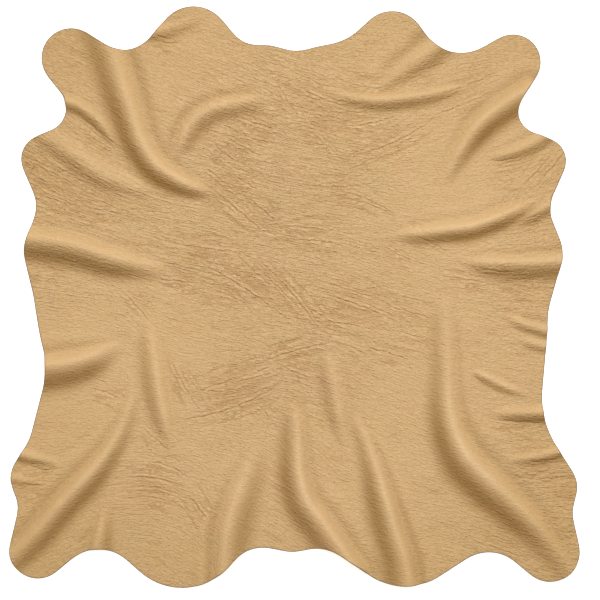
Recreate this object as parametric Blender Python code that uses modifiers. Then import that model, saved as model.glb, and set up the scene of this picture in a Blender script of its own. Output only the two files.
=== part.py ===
"""A whole small hide of tan leather, lying grain side up on a flat surface.

The hide is one sheet, so the model is one solid. Its cut edge is a line drawn round lobes and bays,
as a belt runs round pegs. Its folds are soft ridges that rise from the flat parts and fade out inside
the hide or run off over its edge. The tables are in millimetres, with x towards the right flank and
y towards the neck.
"""

import math
from collections import namedtuple

import bpy
import numpy as np
from mathutils import Vector
from mathutils.geometry import delaunay_2d_cdt

MM = 0.001
NAME = "hide"

THICKNESS = 1.4
TAN = (0.57, 0.37, 0.17)
ROUGHNESS = 0.55

# Spacing of the mesh points: along the edge, along a fold, and in the flat parts.
EDGE_STEP = 8.0
FOLD_STEP = 11.5
FLAT_STEP = 25.0
# Rows of mesh points across a fold, as parts of its width on that side, left side negative.
FOLD_ROWS = (0.0, -0.5, 0.35, -1.0, 0.7, 1.0, -1.7)
# Two mesh points are never closer than this part of the spacing that asked for them.
CLOSEST = 0.55
# A mesh point this near the edge is left out, because the edge has its own.
EDGE_MARGIN = 5.0
# For the triangulation: keep only what lies inside the border, and merge points nearer than this.
INSIDE_BORDER = 1
SAME_POINT = 1e-6

# A belt has a kink in its curvature at each peg: the cut is fairer, rounded over about this length.
EDGE_FAIRING = 5.0
FINE_STEP = 2.0

LOBE, BAY = 1, -1
Peg = namedtuple("Peg", "place x y radius side")
PEGS = (
    Peg("left fore shank", -268, 287, 36.0, LOBE),
    Peg("left of the neck", -205, 336, 39.5, BAY),
    Peg("left cheek", -121, 305, 44.0, LOBE),
    Peg("left neck hollow", -45, 338.5, 36.0, BAY),
    Peg("left neck swell", -32, 278, 24.5, LOBE),
    Peg("neck notch", 2, 342, 46.5, BAY),
    Peg("right neck swell", 30, 286, 15.0, LOBE),
    Peg("right neck hollow", 31, 370, 67.5, BAY),
    Peg("right cheek", 117, 304, 39.5, LOBE),
    Peg("right of the neck", 200, 344.5, 51.5, BAY),
    Peg("right fore shank", 262, 282, 33.5, LOBE),
    Peg("right armpit", 295, 223, 27.0, BAY),
    Peg("right elbow", 298, 163.5, 28.0, LOBE),
    Peg("right fore belly", 342.5, 106, 36.0, BAY),
    Peg("right flap", 282.5, 53, 39.5, LOBE),
    Peg("right belly hollow", 366.5, -25, 62.5, BAY),
    Peg("right belly swell", 264.5, -45.5, 38.5, LOBE),
    Peg("right flank", 405, -120, 108.0, BAY),
    Peg("right knee", 305.5, -228, 34.0, LOBE),
    Peg("right knee hollow", 366.5, -259, 33.0, BAY),
    Peg("right hind shank", 306.5, -306, 36.0, LOBE),
    Peg("right thigh", 233, -354, 48.0, BAY),
    Peg("right butt", 132.5, -269, 78.0, LOBE),
    Peg("right tail hollow", 28, -349, 47.5, BAY),
    Peg("tail", -3, -270, 36.0, LOBE),
    Peg("left tail hollow", -38, -346, 45.5, BAY),
    Peg("left butt", -135, -273.5, 75.5, LOBE),
    Peg("left thigh", -235, -352.5, 50.0, BAY),
    Peg("left hind shank", -308, -303.5, 34.5, LOBE),
    Peg("left knee hollow", -368, -253, 36.0, BAY),
    Peg("left knee", -305.5, -217, 35.5, LOBE),
    Peg("left flank", -370.5, -148.5, 56.5, BAY),
    Peg("left belly", -394.5, -85, 95.5, BAY),
    Peg("left belly swell", -236, -27.5, 72.0, LOBE),
    Peg("left belly hollow", -377.5, -9.5, 65.0, BAY),
    Peg("left flap", -286.5, 54, 38.5, LOBE),
    Peg("left fore belly", -349, 109.5, 39.0, BAY),
    Peg("left elbow", -299.5, 166, 29.0, LOBE),
    Peg("left armpit", -303, 227, 29.0, BAY),
)

# A fold's crest runs through its route, whose points each give x, y and the crest's height there.
# Looking along it, the right side of the ridge is right wide and the left side left wide where the
# crest is highest; both narrow as it sinks, and are start times as wide at its start and end times
# as wide at its end. The slack beside it throws up a low swell on its left, as strong as swell says
# at its start and far says at its end. A fold that ends outside the edge runs off over it.
Fold = namedtuple("Fold", "place right left start end swell far route")
FOLDS = (
    Fold("left shoulder", 22, 14, 1.9, 0.85, 2.3, 0,
         ((-232, 330, 6.2), (-217, 287, 7.4), (-198, 229, 9), (-179, 178, 9.5), (-164, 158, 10),
          (-144, 144, 9), (-121, 133, 7), (-92, 124, 0))),
    Fold("left armpit", 14, 9, 1, 1, 0.1, 0.1,
         ((-285, 238, 7), (-259, 230, 6.5), (-238, 215, 6), (-220, 194, 4), (-211, 178, 0))),
    Fold("left elbow", 21, 25, 1, 1, 0.1, 0.1,
         ((-310, 201, 3.5), (-284, 184, 4.4), (-260, 167, 5.5), (-236, 150, 6), (-207, 137, 4.5),
          (-160, 121, 0))),
    Fold("left neck arch", 22, 13, 1, 1, 2, 0.9,
         ((-143, 165, 0), (-137, 185, 4), (-124, 209, 5.5), (-101, 226, 5.5), (-66, 234, 4.5),
          (-24, 241, 0))),
    Fold("left cheek pucker", 16, 14, 1, 1, 0, 0,
         ((-176, 319, 5), (-154, 321, 4.5), (-128, 330, 2.5), (-98, 342, 0))),
    Fold("right cheek", 20, 18, 1, 1.1, 1.5, 2.8,
         ((93, 246, 0), (120, 265, 3.5), (143, 281, 5), (165, 297, 6.5), (184, 313, 6.5))),
    Fold("right neck", 17, 9, 1, 1, 0.2, 0.2,
         ((33, 246, 0), (66, 240, 4), (102, 237, 6.5), (132, 240, 7), (165, 245, 6), (210, 256, 0))),
    Fold("right shoulder", 25, 15, 1, 1.1, 0.9, 0.9,
         ((174, 129, 0), (186, 155, 3.2), (202, 183, 7), (221, 208, 9.5), (246, 228, 10), (280, 249, 11))),
    Fold("right elbow", 15, 10, 1, 1, 0.9, 0.9,
         ((227, 168, 0), (258, 174, 4.5), (285, 185, 5.5), (314, 205, 5.5))),
    Fold("right fore belly", 20, 13, 1, 1, 0.6, 0.3,
         ((112, 75, 0), (144, 77, 6), (177, 81, 8.5), (210, 85, 9.5), (243, 96, 9), (270, 107, 6),
          (300, 119, 0))),
    Fold("right fore belly edge", 15, 9, 1, 1, 0.2, 0.2,
         ((255, 82, 0), (285, 100, 5), (314, 117, 6.5))),
    Fold("right flap", 24, 12, 1, 1.1, 0.5, 0.5,
         ((196, 45, 0), (234, 42, 7), (276, 42, 8.5), (336, 45, 9))),
    Fold("right belly, fore pucker", 12, 9, 1, 1, 0.5, 0.5,
         ((246, -21, 0), (276, -32, 4.5), (321, -45, 5.5))),
    Fold("right belly, hind pucker", 10, 8, 1, 1, 0.3, 0.3,
         ((261, -47, 0), (288, -56, 3.5), (321, -63, 4))),
    Fold("right flank, inner pucker", 11, 7, 1, 1, 0.6, 0.6,
         ((208, -85, 0), (231, -96, 4.5), (254, -107, 4.5), (290, -119, 0))),
    Fold("right flank", 17, 10, 1, 1, 0.2, 0.2,
         ((230, -139, 0), (264, -138, 6), (316, -137, 8.5))),
    Fold("right knee", 13, 9, 1, 1, 0.2, 0.2,
         ((244, -195, 0), (276, -193, 4.5), (306, -187, 5.5), (340, -177, 6))),
    Fold("right hind leg", 33, 18, 1.15, 1.15, 2, 0.2,
         ((179, 9, 0), (182, -45, 3), (184, -99, 4.5), (185, -129, 6.5), (193, -164, 9),
          (209, -194, 12), (235, -221, 12.5), (266, -249, 10.5), (298, -283, 6.5), (337, -336, 3))),
    Fold("tail", 28, 14, 1.2, 1.15, 1, 1,
         ((-5, -121, 0), (2, -147, 4), (4, -177, 6.5), (7, -217, 9.5), (16, -246, 11.5), (33, -269, 12),
          (76, -330, 12))),
    Fold("rump pucker", 16, 12, 1.5, 1, 0.8, 0.8,
         ((38, -56, 0), (46, -99, 4.3), (53, -138, 4.3), (63, -191, 0))),
    Fold("right butt", 29, 13, 0.85, 1.25, 0.8, 1.9,
         ((62, -119, 0), (83, -164, 2.8), (98, -203, 6), (109, -240, 8.5), (120, -277, 9.5),
          (132, -315, 10), (139, -371, 9))),
    Fold("left butt", 30, 15, 1, 1.2, 3, 0.5,
         ((-86, -368, 6.8), (-85, -315, 6.8), (-81, -279, 7), (-72, -247, 6), (-59, -212, 4),
          (-42, -171, 0))),
    Fold("left hind leg", 24, 14, 1.15, 1, 1, 1.5,
         ((-353, -325, 6), (-326, -299, 8), (-305, -276, 9.5), (-282, -249, 10), (-258, -224, 10),
          (-233, -196, 7.5), (-214, -167, 5), (-200, -134, 2.5), (-193, -85, 0))),
    Fold("left flank, inner", 20, 12.5, 1.3, 1, 0.5, 0.5,
         ((-178, -18, 0), (-170, -63, 4.2), (-164, -105, 6.3), (-157, -140, 5.8), (-146, -190, 0))),
    Fold("left belly", 36, 17, 1, 1, 0.9, 0.9,
         ((-318, -83, 12.5), (-282, -80, 12), (-248, -72, 8.5), (-204, -51, 0))),
    Fold("left knee", 13, 10, 1, 1, 0.1, 0.1,
         ((-351, -181, 6), (-324, -189, 5.5), (-300, -195, 3.5), (-272, -205, 0))),
    Fold("left knee pucker", 9, 8, 1, 1, 0.1, 0.1,
         ((-351, -215, 3), (-327, -219, 2.5), (-294, -225, 0))),
    Fold("left thigh", 20, 12, 1.1, 1, 0.8, 0.8,
         ((-243, -330, 6.5), (-236, -291, 6), (-224, -241, 0))),
    Fold("left flap", 31, 20, 1, 1, 0.15, 0.15,
         ((-354, 73, 12.5), (-318, 71, 12.5), (-282, 66, 12.5), (-252, 59, 12), (-222, 49, 10.5),
          (-192, 41, 7), (-144, 27, 0))),
)
# How wide a fold still is where its height has sunk to nothing, as a part of its full width.
END_WIDTH = 0.45
# The swell: its height as a part of the crest's, how far out it lies and how wide it is to each
# side, both as parts of the fold's left width.
SWELL_HEIGHT = 0.15
SWELL_PLACE = 1.7
SWELL_WIDTH = 0.95

# Places where the rim lifts a little off the surface, as round hills of this radius and height.
Lift = namedtuple("Lift", "place x y radius height")
LIFTS = (
    Lift("left cheek", -147, 359, 64, 6.0),
    Lift("right cheek", 170, 340, 56, 6.0),
    Lift("right fore shank", 300, 309, 42, 3.0),
    Lift("right elbow", 334, 166, 38, 2.5),
)


def tangent_normal(peg, following):
    """The unit normal, left of travel, of the straight run from one peg to the following one."""
    along = np.array([following.x - peg.x, following.y - peg.y])
    span = np.hypot(*along)
    along = along / span
    lean = (peg.side * peg.radius - following.side * following.radius) / span
    return lean * along + math.sqrt(1 - lean * lean) * np.array([-along[1], along[0]])


def belt_points(pegs, step):
    """Points on the arcs of a line that runs clockwise round the lobes and inside the bays."""
    normals = [tangent_normal(peg, after) for peg, after in zip(pegs, pegs[1:] + pegs[:1])]
    arcs = []
    for index, peg in enumerate(pegs):
        start, end = (math.atan2(*normal[::-1]) for normal in (normals[index - 1], normals[index]))
        turn = (end - start + math.pi) % (2 * math.pi) - math.pi
        angles = start + turn * np.linspace(0, 1, max(2, math.ceil(abs(turn) * peg.radius / step)))
        reach = peg.side * peg.radius
        arcs.append(np.column_stack((peg.x + reach * np.cos(angles), peg.y + reach * np.sin(angles))))
    return np.vstack(arcs)


def even_loop(points, step):
    """The closed line through the points, as points about one step apart."""
    closed = np.vstack((points, points[:1]))
    lengths = np.concatenate(([0], np.cumsum(np.hypot(*np.diff(closed, axis=0).T))))
    count = round(lengths[-1] / step)
    places = np.linspace(0, lengths[-1], count, endpoint=False)
    return np.column_stack([np.interp(places, lengths, closed[:, axis]) for axis in (0, 1)])


def outline(step):
    """The hide's cut edge, faired, as points about one step apart."""
    line = even_loop(belt_points(PEGS, FINE_STEP), FINE_STEP)
    for _ in range(round(2 * (EDGE_FAIRING / FINE_STEP) ** 2)):
        line = (np.roll(line, 1, axis=0) + 2 * line + np.roll(line, -1, axis=0)) / 4
    return even_loop(line, step)


def through(values, slopes, spans, step):
    """Points about one step apart on the smooth curve with these values and slopes at its stations."""
    curve = []
    for index, span in enumerate(spans):
        t = np.linspace(0, 1, max(2, round(span / step)), endpoint=False)[:, None]
        curve.append(
            (2 * t**3 - 3 * t**2 + 1) * values[index]
            + (t**3 - 2 * t**2 + t) * span * slopes[index]
            + (3 * t**2 - 2 * t**3) * values[index + 1]
            + (t**3 - t**2) * span * slopes[index + 1]
        )
    return np.vstack(curve + [values[-1:]])


def crest_line(fold, step):
    """The fold's crest: its plan as x and y, and its height, at points about one step apart."""
    stations = np.array(fold.route, float)
    plan, heights = stations[:, :2], stations[:, 2:]
    spans = np.hypot(*np.diff(plan, axis=0).T)[:, None]
    before, after = spans[:-1], spans[1:]

    # Between two spans the crest heads between their two headings, and each end keeps bending on.
    run = np.diff(plan, axis=0) / spans
    inner = (run[:-1] * after + run[1:] * before) / (before + after)
    plan_slopes = np.vstack((1.5 * run[:1] - 0.5 * inner[:1], inner, 1.5 * run[-1:] - 0.5 * inner[-1:]))

    # The height is level at both ends and at every top and dip, so it never overshoots a station.
    climb = np.diff(heights, axis=0) / spans
    same_way = climb[:-1] * climb[1:] > 0
    both = np.where(same_way, climb[:-1] + climb[1:], 1)
    inner = np.where(same_way, 2 * climb[:-1] * climb[1:] / both, 0)
    height_slopes = np.vstack(([[0]], inner, [[0]]))

    spans = spans[:, 0]
    return through(plan, plan_slopes, spans, step), through(heights, height_slopes, spans, step)[:, 0]


def headings_of(curve):
    """The direction of the curve at each of its points."""
    headings = np.gradient(curve, axis=0)
    return headings / np.hypot(*headings.T)[:, None]


def hill(share):
    """The section of a fold: 1 on the crest, 0 from one width on, with no corner anywhere."""
    return (1 - np.clip(share, -1, 1) ** 2) ** 3


def spread_of(fold, height, along):
    """How wide the fold is where its crest is this high, as a part of its full width."""
    top = max(station[2] for station in fold.route)
    sunk = END_WIDTH + (1 - END_WIDTH) * height / top
    return sunk * (fold.start + (fold.end - fold.start) * along)


def section(fold, share, along):
    """The height across a fold as a part of its crest's, this many widths to the right of the crest."""
    swell = fold.swell + (fold.far - fold.swell) * along
    return hill(share) + swell * SWELL_HEIGHT * hill((share + SWELL_PLACE) / SWELL_WIDTH)


def fold_height(fold, points):
    """How high one fold lifts the sheet at each point."""
    crest, heights = crest_line(fold, FINE_STEP)
    last, gap = len(crest) - 1, np.hypot(*np.diff(crest, axis=0).T).mean()
    nearest = np.argmin(np.hypot(*(points[:, None] - crest[None]).transpose(2, 0, 1)), axis=1)
    offset = points - crest[nearest]
    heading = headings_of(crest)[nearest]
    aside = offset[:, 0] * heading[:, 1] - offset[:, 1] * heading[:, 0]

    # How far along the crest the point lies, in steps, and how far it lies past either end.
    reached = nearest + np.sum(offset * heading, axis=1) / gap
    place = np.clip(reached, 0, last)
    past = (reached - place) * gap
    height = np.interp(place, np.arange(last + 1), heights)
    along = place / last
    width = np.where(aside > 0, fold.right, fold.left) * spread_of(fold, height, along)
    return height * section(fold, np.sign(aside) * np.hypot(aside, past) / width, along)


def sheet_height(points):
    """Height of the sheet's underside: folds that meet blend, and flat parts lie at exactly 0."""
    squares = np.zeros(len(points))
    for fold in FOLDS:
        squares += fold_height(fold, points) ** 2
    for lift in LIFTS:
        distance = np.hypot(points[:, 0] - lift.x, points[:, 1] - lift.y)
        squares += (lift.height * hill(distance / lift.radius)) ** 2
    return np.sqrt(squares)


def inside(points, loop):
    """Which points lie inside the closed line, by counting how often a ray to the right crosses it."""
    ahead = np.roll(loop, -1, axis=0)
    x, y = points[:, :1], points[:, 1:]
    spans = (loop[:, 1] > y) != (ahead[:, 1] > y)
    rise = np.where(ahead[:, 1] == loop[:, 1], 1, ahead[:, 1] - loop[:, 1])
    crossing = loop[:, 0] + (y - loop[:, 1]) * (ahead[:, 0] - loop[:, 0]) / rise
    return np.sum(spans & (x < crossing), axis=1) % 2 == 1


def rows_beside(fold):
    """Mesh points in rows along a fold, crest first."""
    crest, heights = crest_line(fold, FOLD_STEP)
    headings = headings_of(crest)
    rightwards = np.column_stack((headings[:, 1], -headings[:, 0]))
    rightwards *= spread_of(fold, heights, np.linspace(0, 1, len(crest)))[:, None]
    return [crest + row * (fold.right if row > 0 else fold.left) * rightwards for row in FOLD_ROWS]


def flat_grid():
    """Mesh points for the flat parts, each row set half a step on from the one before."""
    reach = 2 * max(abs(peg.x) for peg in PEGS)
    rows = np.arange(-reach, reach, FLAT_STEP * math.sqrt(3) / 2)
    across = np.arange(-reach, reach, FLAT_STEP)
    return np.vstack([
        np.column_stack((across + FLAT_STEP / 2 * (index % 2), np.full(len(across), row)))
        for index, row in enumerate(rows)
    ])


def mesh_points(edge):
    """The points inside the edge: rows along each fold, then an even spread over the rest."""
    wanted = [(row, FOLD_STEP) for fold in FOLDS for row in rows_beside(fold)]
    wanted.append((flat_grid(), FLAT_STEP))
    kept = np.empty((0, 2))
    for candidates, spacing in wanted:
        candidates = candidates[inside(candidates, edge)]
        to_edge = np.hypot(*(candidates[:, None] - edge[None]).transpose(2, 0, 1)).min(axis=1)
        for point in candidates[to_edge > EDGE_MARGIN]:
            if not len(kept) or np.hypot(*(kept - point).T).min() > CLOSEST * spacing:
                kept = np.vstack((kept, point))
    return kept


def hide_mesh():
    """The underside of the hide, as an open surface that faces up."""
    edge = outline(EDGE_STEP)
    plan = np.vstack((edge, mesh_points(edge)))
    border = list(range(len(edge)))
    points = [Vector(point) for point in plan]
    triangulated = delaunay_2d_cdt(points, [], [border[::-1]], INSIDE_BORDER, SAME_POINT)
    plan = np.array(triangulated[0])
    low, high = plan.min(axis=0), plan.max(axis=0)
    verts = np.column_stack((plan - (low + high) / 2, sheet_height(plan))) * MM
    mesh = bpy.data.meshes.new(NAME)
    mesh.from_pydata([tuple(vert) for vert in verts], [], triangulated[2])
    mesh.shade_smooth()
    return mesh


def leather():
    """Tan leather, matt on top."""
    material = bpy.data.materials.new("tan leather")
    material.use_nodes = True
    shader = material.node_tree.nodes["Principled BSDF"]
    shader.inputs["Base Color"].default_value = (*TAN, 1)
    shader.inputs["Roughness"].default_value = ROUGHNESS
    shader.inputs["Metallic"].default_value = 0
    return material


def main():
    for old in list(bpy.data.objects):
        bpy.data.objects.remove(old, do_unlink=True)
    parts = bpy.data.collections.new("leather hide")
    bpy.context.scene.collection.children.link(parts)
    hide = bpy.data.objects.new(NAME, hide_mesh())
    hide.data.materials.append(leather())
    parts.objects.link(hide)
    wall = hide.modifiers.new("thickness", "SOLIDIFY")
    wall.thickness = THICKNESS * MM
    wall.offset = 1
    wall.use_even_offset = True
    wall.use_quality_normals = True


if __name__ == "__main__":
    main()
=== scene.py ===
# %% [markdown]
# # A small tan hide, laid out flat
# The real thing is one whole small skin, tanned, dyed tan and trimmed round its edge. It lies grain
# side up on a table. Nothing is sewn or fitted to it, so everything here dresses one sheet: its cut
# line, its folds, its pressed creases, its grain, its cut edge and its suede underside.
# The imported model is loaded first, because it is the frame that the dressed sheet has to keep to.

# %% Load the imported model
import math
from collections import namedtuple

import bpy
import numpy as np
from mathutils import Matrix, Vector
from mathutils.bvhtree import BVHTree
from mathutils.geometry import delaunay_2d_cdt
from mathutils.kdtree import KDTree


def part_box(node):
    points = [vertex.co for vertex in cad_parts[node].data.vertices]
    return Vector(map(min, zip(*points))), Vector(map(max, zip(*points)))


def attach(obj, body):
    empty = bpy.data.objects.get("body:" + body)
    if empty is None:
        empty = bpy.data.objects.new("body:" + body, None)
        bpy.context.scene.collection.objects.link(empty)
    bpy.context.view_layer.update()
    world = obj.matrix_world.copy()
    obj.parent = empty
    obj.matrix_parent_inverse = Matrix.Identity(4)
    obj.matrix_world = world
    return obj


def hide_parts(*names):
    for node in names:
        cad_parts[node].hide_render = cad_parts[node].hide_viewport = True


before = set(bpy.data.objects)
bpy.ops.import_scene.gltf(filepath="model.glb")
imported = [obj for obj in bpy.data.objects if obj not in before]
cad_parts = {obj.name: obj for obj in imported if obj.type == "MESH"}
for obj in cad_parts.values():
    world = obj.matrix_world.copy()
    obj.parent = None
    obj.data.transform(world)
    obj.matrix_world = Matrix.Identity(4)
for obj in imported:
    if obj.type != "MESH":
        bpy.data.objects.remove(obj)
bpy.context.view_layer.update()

MM = 0.001
hide_low, hide_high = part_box("hide")
print("the solid hide measures", [round(side / MM, 1) for side in hide_high - hide_low], "mm")

# %% [markdown]
# ## Looking straight down
# A flat skin is looked at from straight above. A long lens from far off keeps both sides of every
# lobe in view, as a short lens near the sheet would not. The lens and the width of the view give the
# height, so the framing is set by two sizes that can be read off a ruler.

# %% The camera
VIEW_WIDTH = 0.72
VIEW_CENTRE = (0.0064, -0.0034)
LENS, SENSOR = 200, 36

camera = bpy.data.objects.new("camera", bpy.data.cameras.new("camera"))
camera.data.lens = LENS
camera.data.sensor_width = SENSOR
camera.data.clip_end = 100
camera.location = (*VIEW_CENTRE, VIEW_WIDTH * LENS / SENSOR)
bpy.context.scene.collection.objects.link(camera)
bpy.context.scene.camera = camera
bpy.context.scene.view_settings.view_transform = "Standard"
print("the camera is", round(camera.location.z, 2), "m up")

# %% [markdown]
# ## A pale table and soft light
# Leather shows its folds by how the light rakes across them. One broad lamp stands beyond the neck,
# about 60 degrees up, so each fold is light on its neck side and dark on its tail side. A weak lamp
# overhead and a dim even surround keep the dark sides from going black. The table glows faintly, as
# a light table does, so the hide throws hardly any shadow on it.

# %% The table and the lamps
TABLE_SIZE, TABLE_DROP = 30, 0.2
TABLE_WHITE = (0.86, 0.86, 0.86, 1)
TABLE_GLOW = 0.65
SURROUND = 0.25
SURROUND_TINT = (1.0, 0.72, 0.42)

Lamp = namedtuple("Lamp", "name towards distance size power")
LAMPS = (
    Lamp("window beyond the neck", (0.07, 0.50, 0.86), 6.0, 2.8, 322),
    Lamp("overhead fill", (0.0, 0.05, 1.0), 2.4, 1.6, 12),
)


def table():
    """The pale surface that the hide lies on."""
    bpy.ops.mesh.primitive_plane_add(size=TABLE_SIZE, location=(0, 0, -TABLE_DROP * MM))
    plane = bpy.context.object
    plane.name = "table"
    finish = bpy.data.materials.new("pale table")
    finish.use_nodes = True
    shader = finish.node_tree.nodes["Principled BSDF"]
    shader.inputs["Base Color"].default_value = TABLE_WHITE
    shader.inputs["Roughness"].default_value = 0.9
    shader.inputs["Emission Color"].default_value = (1, 1, 1, 1)
    shader.inputs["Emission Strength"].default_value = TABLE_GLOW
    plane.data.materials.append(finish)


def light(lamp):
    """A square lamp that faces the middle of the hide."""
    data = bpy.data.lights.new(lamp.name, "AREA")
    data.size = lamp.size
    data.energy = lamp.power
    made = bpy.data.objects.new(lamp.name, data)
    direction = Vector(lamp.towards).normalized()
    made.location = direction * lamp.distance
    made.rotation_euler = direction.to_track_quat("Z", "Y").to_euler()
    made.visible_camera = False
    bpy.context.scene.collection.objects.link(made)


table()
for lamp in LAMPS:
    light(lamp)
world = bpy.data.worlds.new("surround")
world.use_nodes = True
world.node_tree.nodes["Background"].inputs["Color"].default_value = (*SURROUND_TINT, 1)
world.node_tree.nodes["Background"].inputs["Strength"].default_value = SURROUND
bpy.context.scene.world = world
print("lamps:", [lamp.name for lamp in LAMPS])

# %% [markdown]
# ## The trimmed edge
# A tanner trims a hide with long curved cuts, round the shanks, cheeks and flanks and in between
# them. Such a line could be drawn as a spline with handles, but its points would say nothing about
# the skin. Here it runs like a belt round pegs: each lobe and each bay is one round peg with a name,
# and the straight runs between them are worked out. The sizes are in millimetres.

# %% The pegs of the cut line
EDGE_STEP = 2.5
EDGE_FAIRING = 5.0
FINE_STEP = 2.0
CENTRE_STEP = 8.0

LOBE, BAY = 1, -1
Peg = namedtuple("Peg", "place x y radius side")
PEGS = (
    Peg("left fore shank", -268, 287, 36.0, LOBE),
    Peg("left of the neck", -205, 336, 39.5, BAY),
    Peg("left cheek", -121, 305, 44.0, LOBE),
    Peg("left neck hollow", -45, 338.5, 36.0, BAY),
    Peg("left neck swell", -32, 278, 24.5, LOBE),
    Peg("neck notch", 2, 342, 46.5, BAY),
    Peg("right neck swell", 30, 286, 15.0, LOBE),
    Peg("right neck hollow", 31, 370, 67.5, BAY),
    Peg("right cheek", 117, 304, 39.5, LOBE),
    Peg("right of the neck", 200, 344.5, 51.5, BAY),
    Peg("right fore shank", 262, 282, 33.5, LOBE),
    Peg("right armpit", 295, 223, 27.0, BAY),
    Peg("right elbow", 298, 163.5, 28.0, LOBE),
    Peg("right fore belly", 342.5, 106, 36.0, BAY),
    Peg("right flap", 282.5, 53, 39.5, LOBE),
    Peg("right belly hollow", 366.5, -25, 62.5, BAY),
    Peg("right belly swell", 264.5, -45.5, 38.5, LOBE),
    Peg("right flank", 405, -120, 108.0, BAY),
    Peg("right knee", 305.5, -228, 34.0, LOBE),
    Peg("right knee hollow", 366.5, -259, 33.0, BAY),
    Peg("right hind shank", 306.5, -306, 36.0, LOBE),
    Peg("right thigh", 233, -354, 48.0, BAY),
    Peg("right butt", 132.5, -269, 78.0, LOBE),
    Peg("right tail hollow", 28, -349, 47.5, BAY),
    Peg("tail", -3, -270, 36.0, LOBE),
    Peg("left tail hollow", -38, -346, 45.5, BAY),
    Peg("left butt", -135, -273.5, 75.5, LOBE),
    Peg("left thigh", -235, -352.5, 50.0, BAY),
    Peg("left hind shank", -308, -303.5, 34.5, LOBE),
    Peg("left knee hollow", -368, -253, 36.0, BAY),
    Peg("left knee", -305.5, -217, 35.5, LOBE),
    Peg("left flank", -370.5, -148.5, 56.5, BAY),
    Peg("left belly", -394.5, -85, 95.5, BAY),
    Peg("left belly swell", -236, -27.5, 72.0, LOBE),
    Peg("left belly hollow", -377.5, -9.5, 65.0, BAY),
    Peg("left flap", -286.5, 54, 38.5, LOBE),
    Peg("left fore belly", -349, 109.5, 39.0, BAY),
    Peg("left elbow", -299.5, 166, 29.0, LOBE),
    Peg("left armpit", -303, 227, 29.0, BAY),
)

print(len(PEGS), "pegs:", sum(peg.side == LOBE for peg in PEGS), "lobes and the bays between them")

# %% The cut line from its pegs


def tangent_normal(peg, following):
    """The unit normal, left of travel, of the straight run from one peg to the following one."""
    along = np.array([following.x - peg.x, following.y - peg.y])
    span = np.hypot(*along)
    along = along / span
    lean = (peg.side * peg.radius - following.side * following.radius) / span
    return lean * along + math.sqrt(1 - lean * lean) * np.array([-along[1], along[0]])


def belt_points(pegs, step):
    """Points on the arcs of a line that runs clockwise round the lobes and inside the bays."""
    normals = [tangent_normal(peg, after) for peg, after in zip(pegs, pegs[1:] + pegs[:1])]
    arcs = []
    for index, peg in enumerate(pegs):
        start, end = (math.atan2(*normal[::-1]) for normal in (normals[index - 1], normals[index]))
        turn = (end - start + math.pi) % (2 * math.pi) - math.pi
        angles = start + turn * np.linspace(0, 1, max(2, math.ceil(abs(turn) * peg.radius / step)))
        reach = peg.side * peg.radius
        arcs.append(np.column_stack((peg.x + reach * np.cos(angles), peg.y + reach * np.sin(angles))))
    return np.vstack(arcs)


def even_loop(points, step):
    """The closed line through the points, as points about one step apart."""
    closed = np.vstack((points, points[:1]))
    lengths = np.concatenate(([0], np.cumsum(np.hypot(*np.diff(closed, axis=0).T))))
    count = round(lengths[-1] / step)
    places = np.linspace(0, lengths[-1], count, endpoint=False)
    return np.column_stack([np.interp(places, lengths, closed[:, axis]) for axis in (0, 1)])


def outline(step):
    """The hide's cut edge, faired, as points about one step apart."""
    line = even_loop(belt_points(PEGS, FINE_STEP), FINE_STEP)
    for _ in range(round(2 * (EDGE_FAIRING / FINE_STEP) ** 2)):
        line = (np.roll(line, 1, axis=0) + 2 * line + np.roll(line, -1, axis=0)) / 4
    return even_loop(line, step)


# %% Helpers for points and lines
# Long lists of points are worked through in this many parts, to save memory.
PARTS = 40


def inside(points, loop):
    """Which points lie inside the closed line, by counting how often a ray to the right crosses it."""
    ahead = np.roll(loop, -1, axis=0)
    rise = np.where(ahead[:, 1] == loop[:, 1], 1, ahead[:, 1] - loop[:, 1])
    kept = []
    for part in np.array_split(points, PARTS):
        x, y = part[:, :1], part[:, 1:]
        spans = (loop[:, 1] > y) != (ahead[:, 1] > y)
        crossing = loop[:, 0] + (y - loop[:, 1]) * (ahead[:, 0] - loop[:, 0]) / rise
        kept.append(np.sum(spans & (x < crossing), axis=1) % 2 == 1)
    return np.concatenate(kept)


def headings_of(curve):
    """The direction of an open curve at each of its points."""
    headings = np.gradient(curve, axis=0)
    return headings / np.hypot(*headings.T)[:, None]


def inward_of(loop):
    """The unit direction into the hide at each point of a clockwise loop."""
    along = np.roll(loop, -1, axis=0) - np.roll(loop, 1, axis=0)
    along /= np.hypot(*along.T)[:, None]
    return np.column_stack((along[:, 1], -along[:, 0]))


# %% The cut line
edge, coarse_edge = outline(EDGE_STEP), outline(CENTRE_STEP)
centre = (coarse_edge.min(axis=0) + coarse_edge.max(axis=0)) / 2
print("the cut line has", len(edge), "points and is", round(len(edge) * EDGE_STEP), "mm long")
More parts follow.
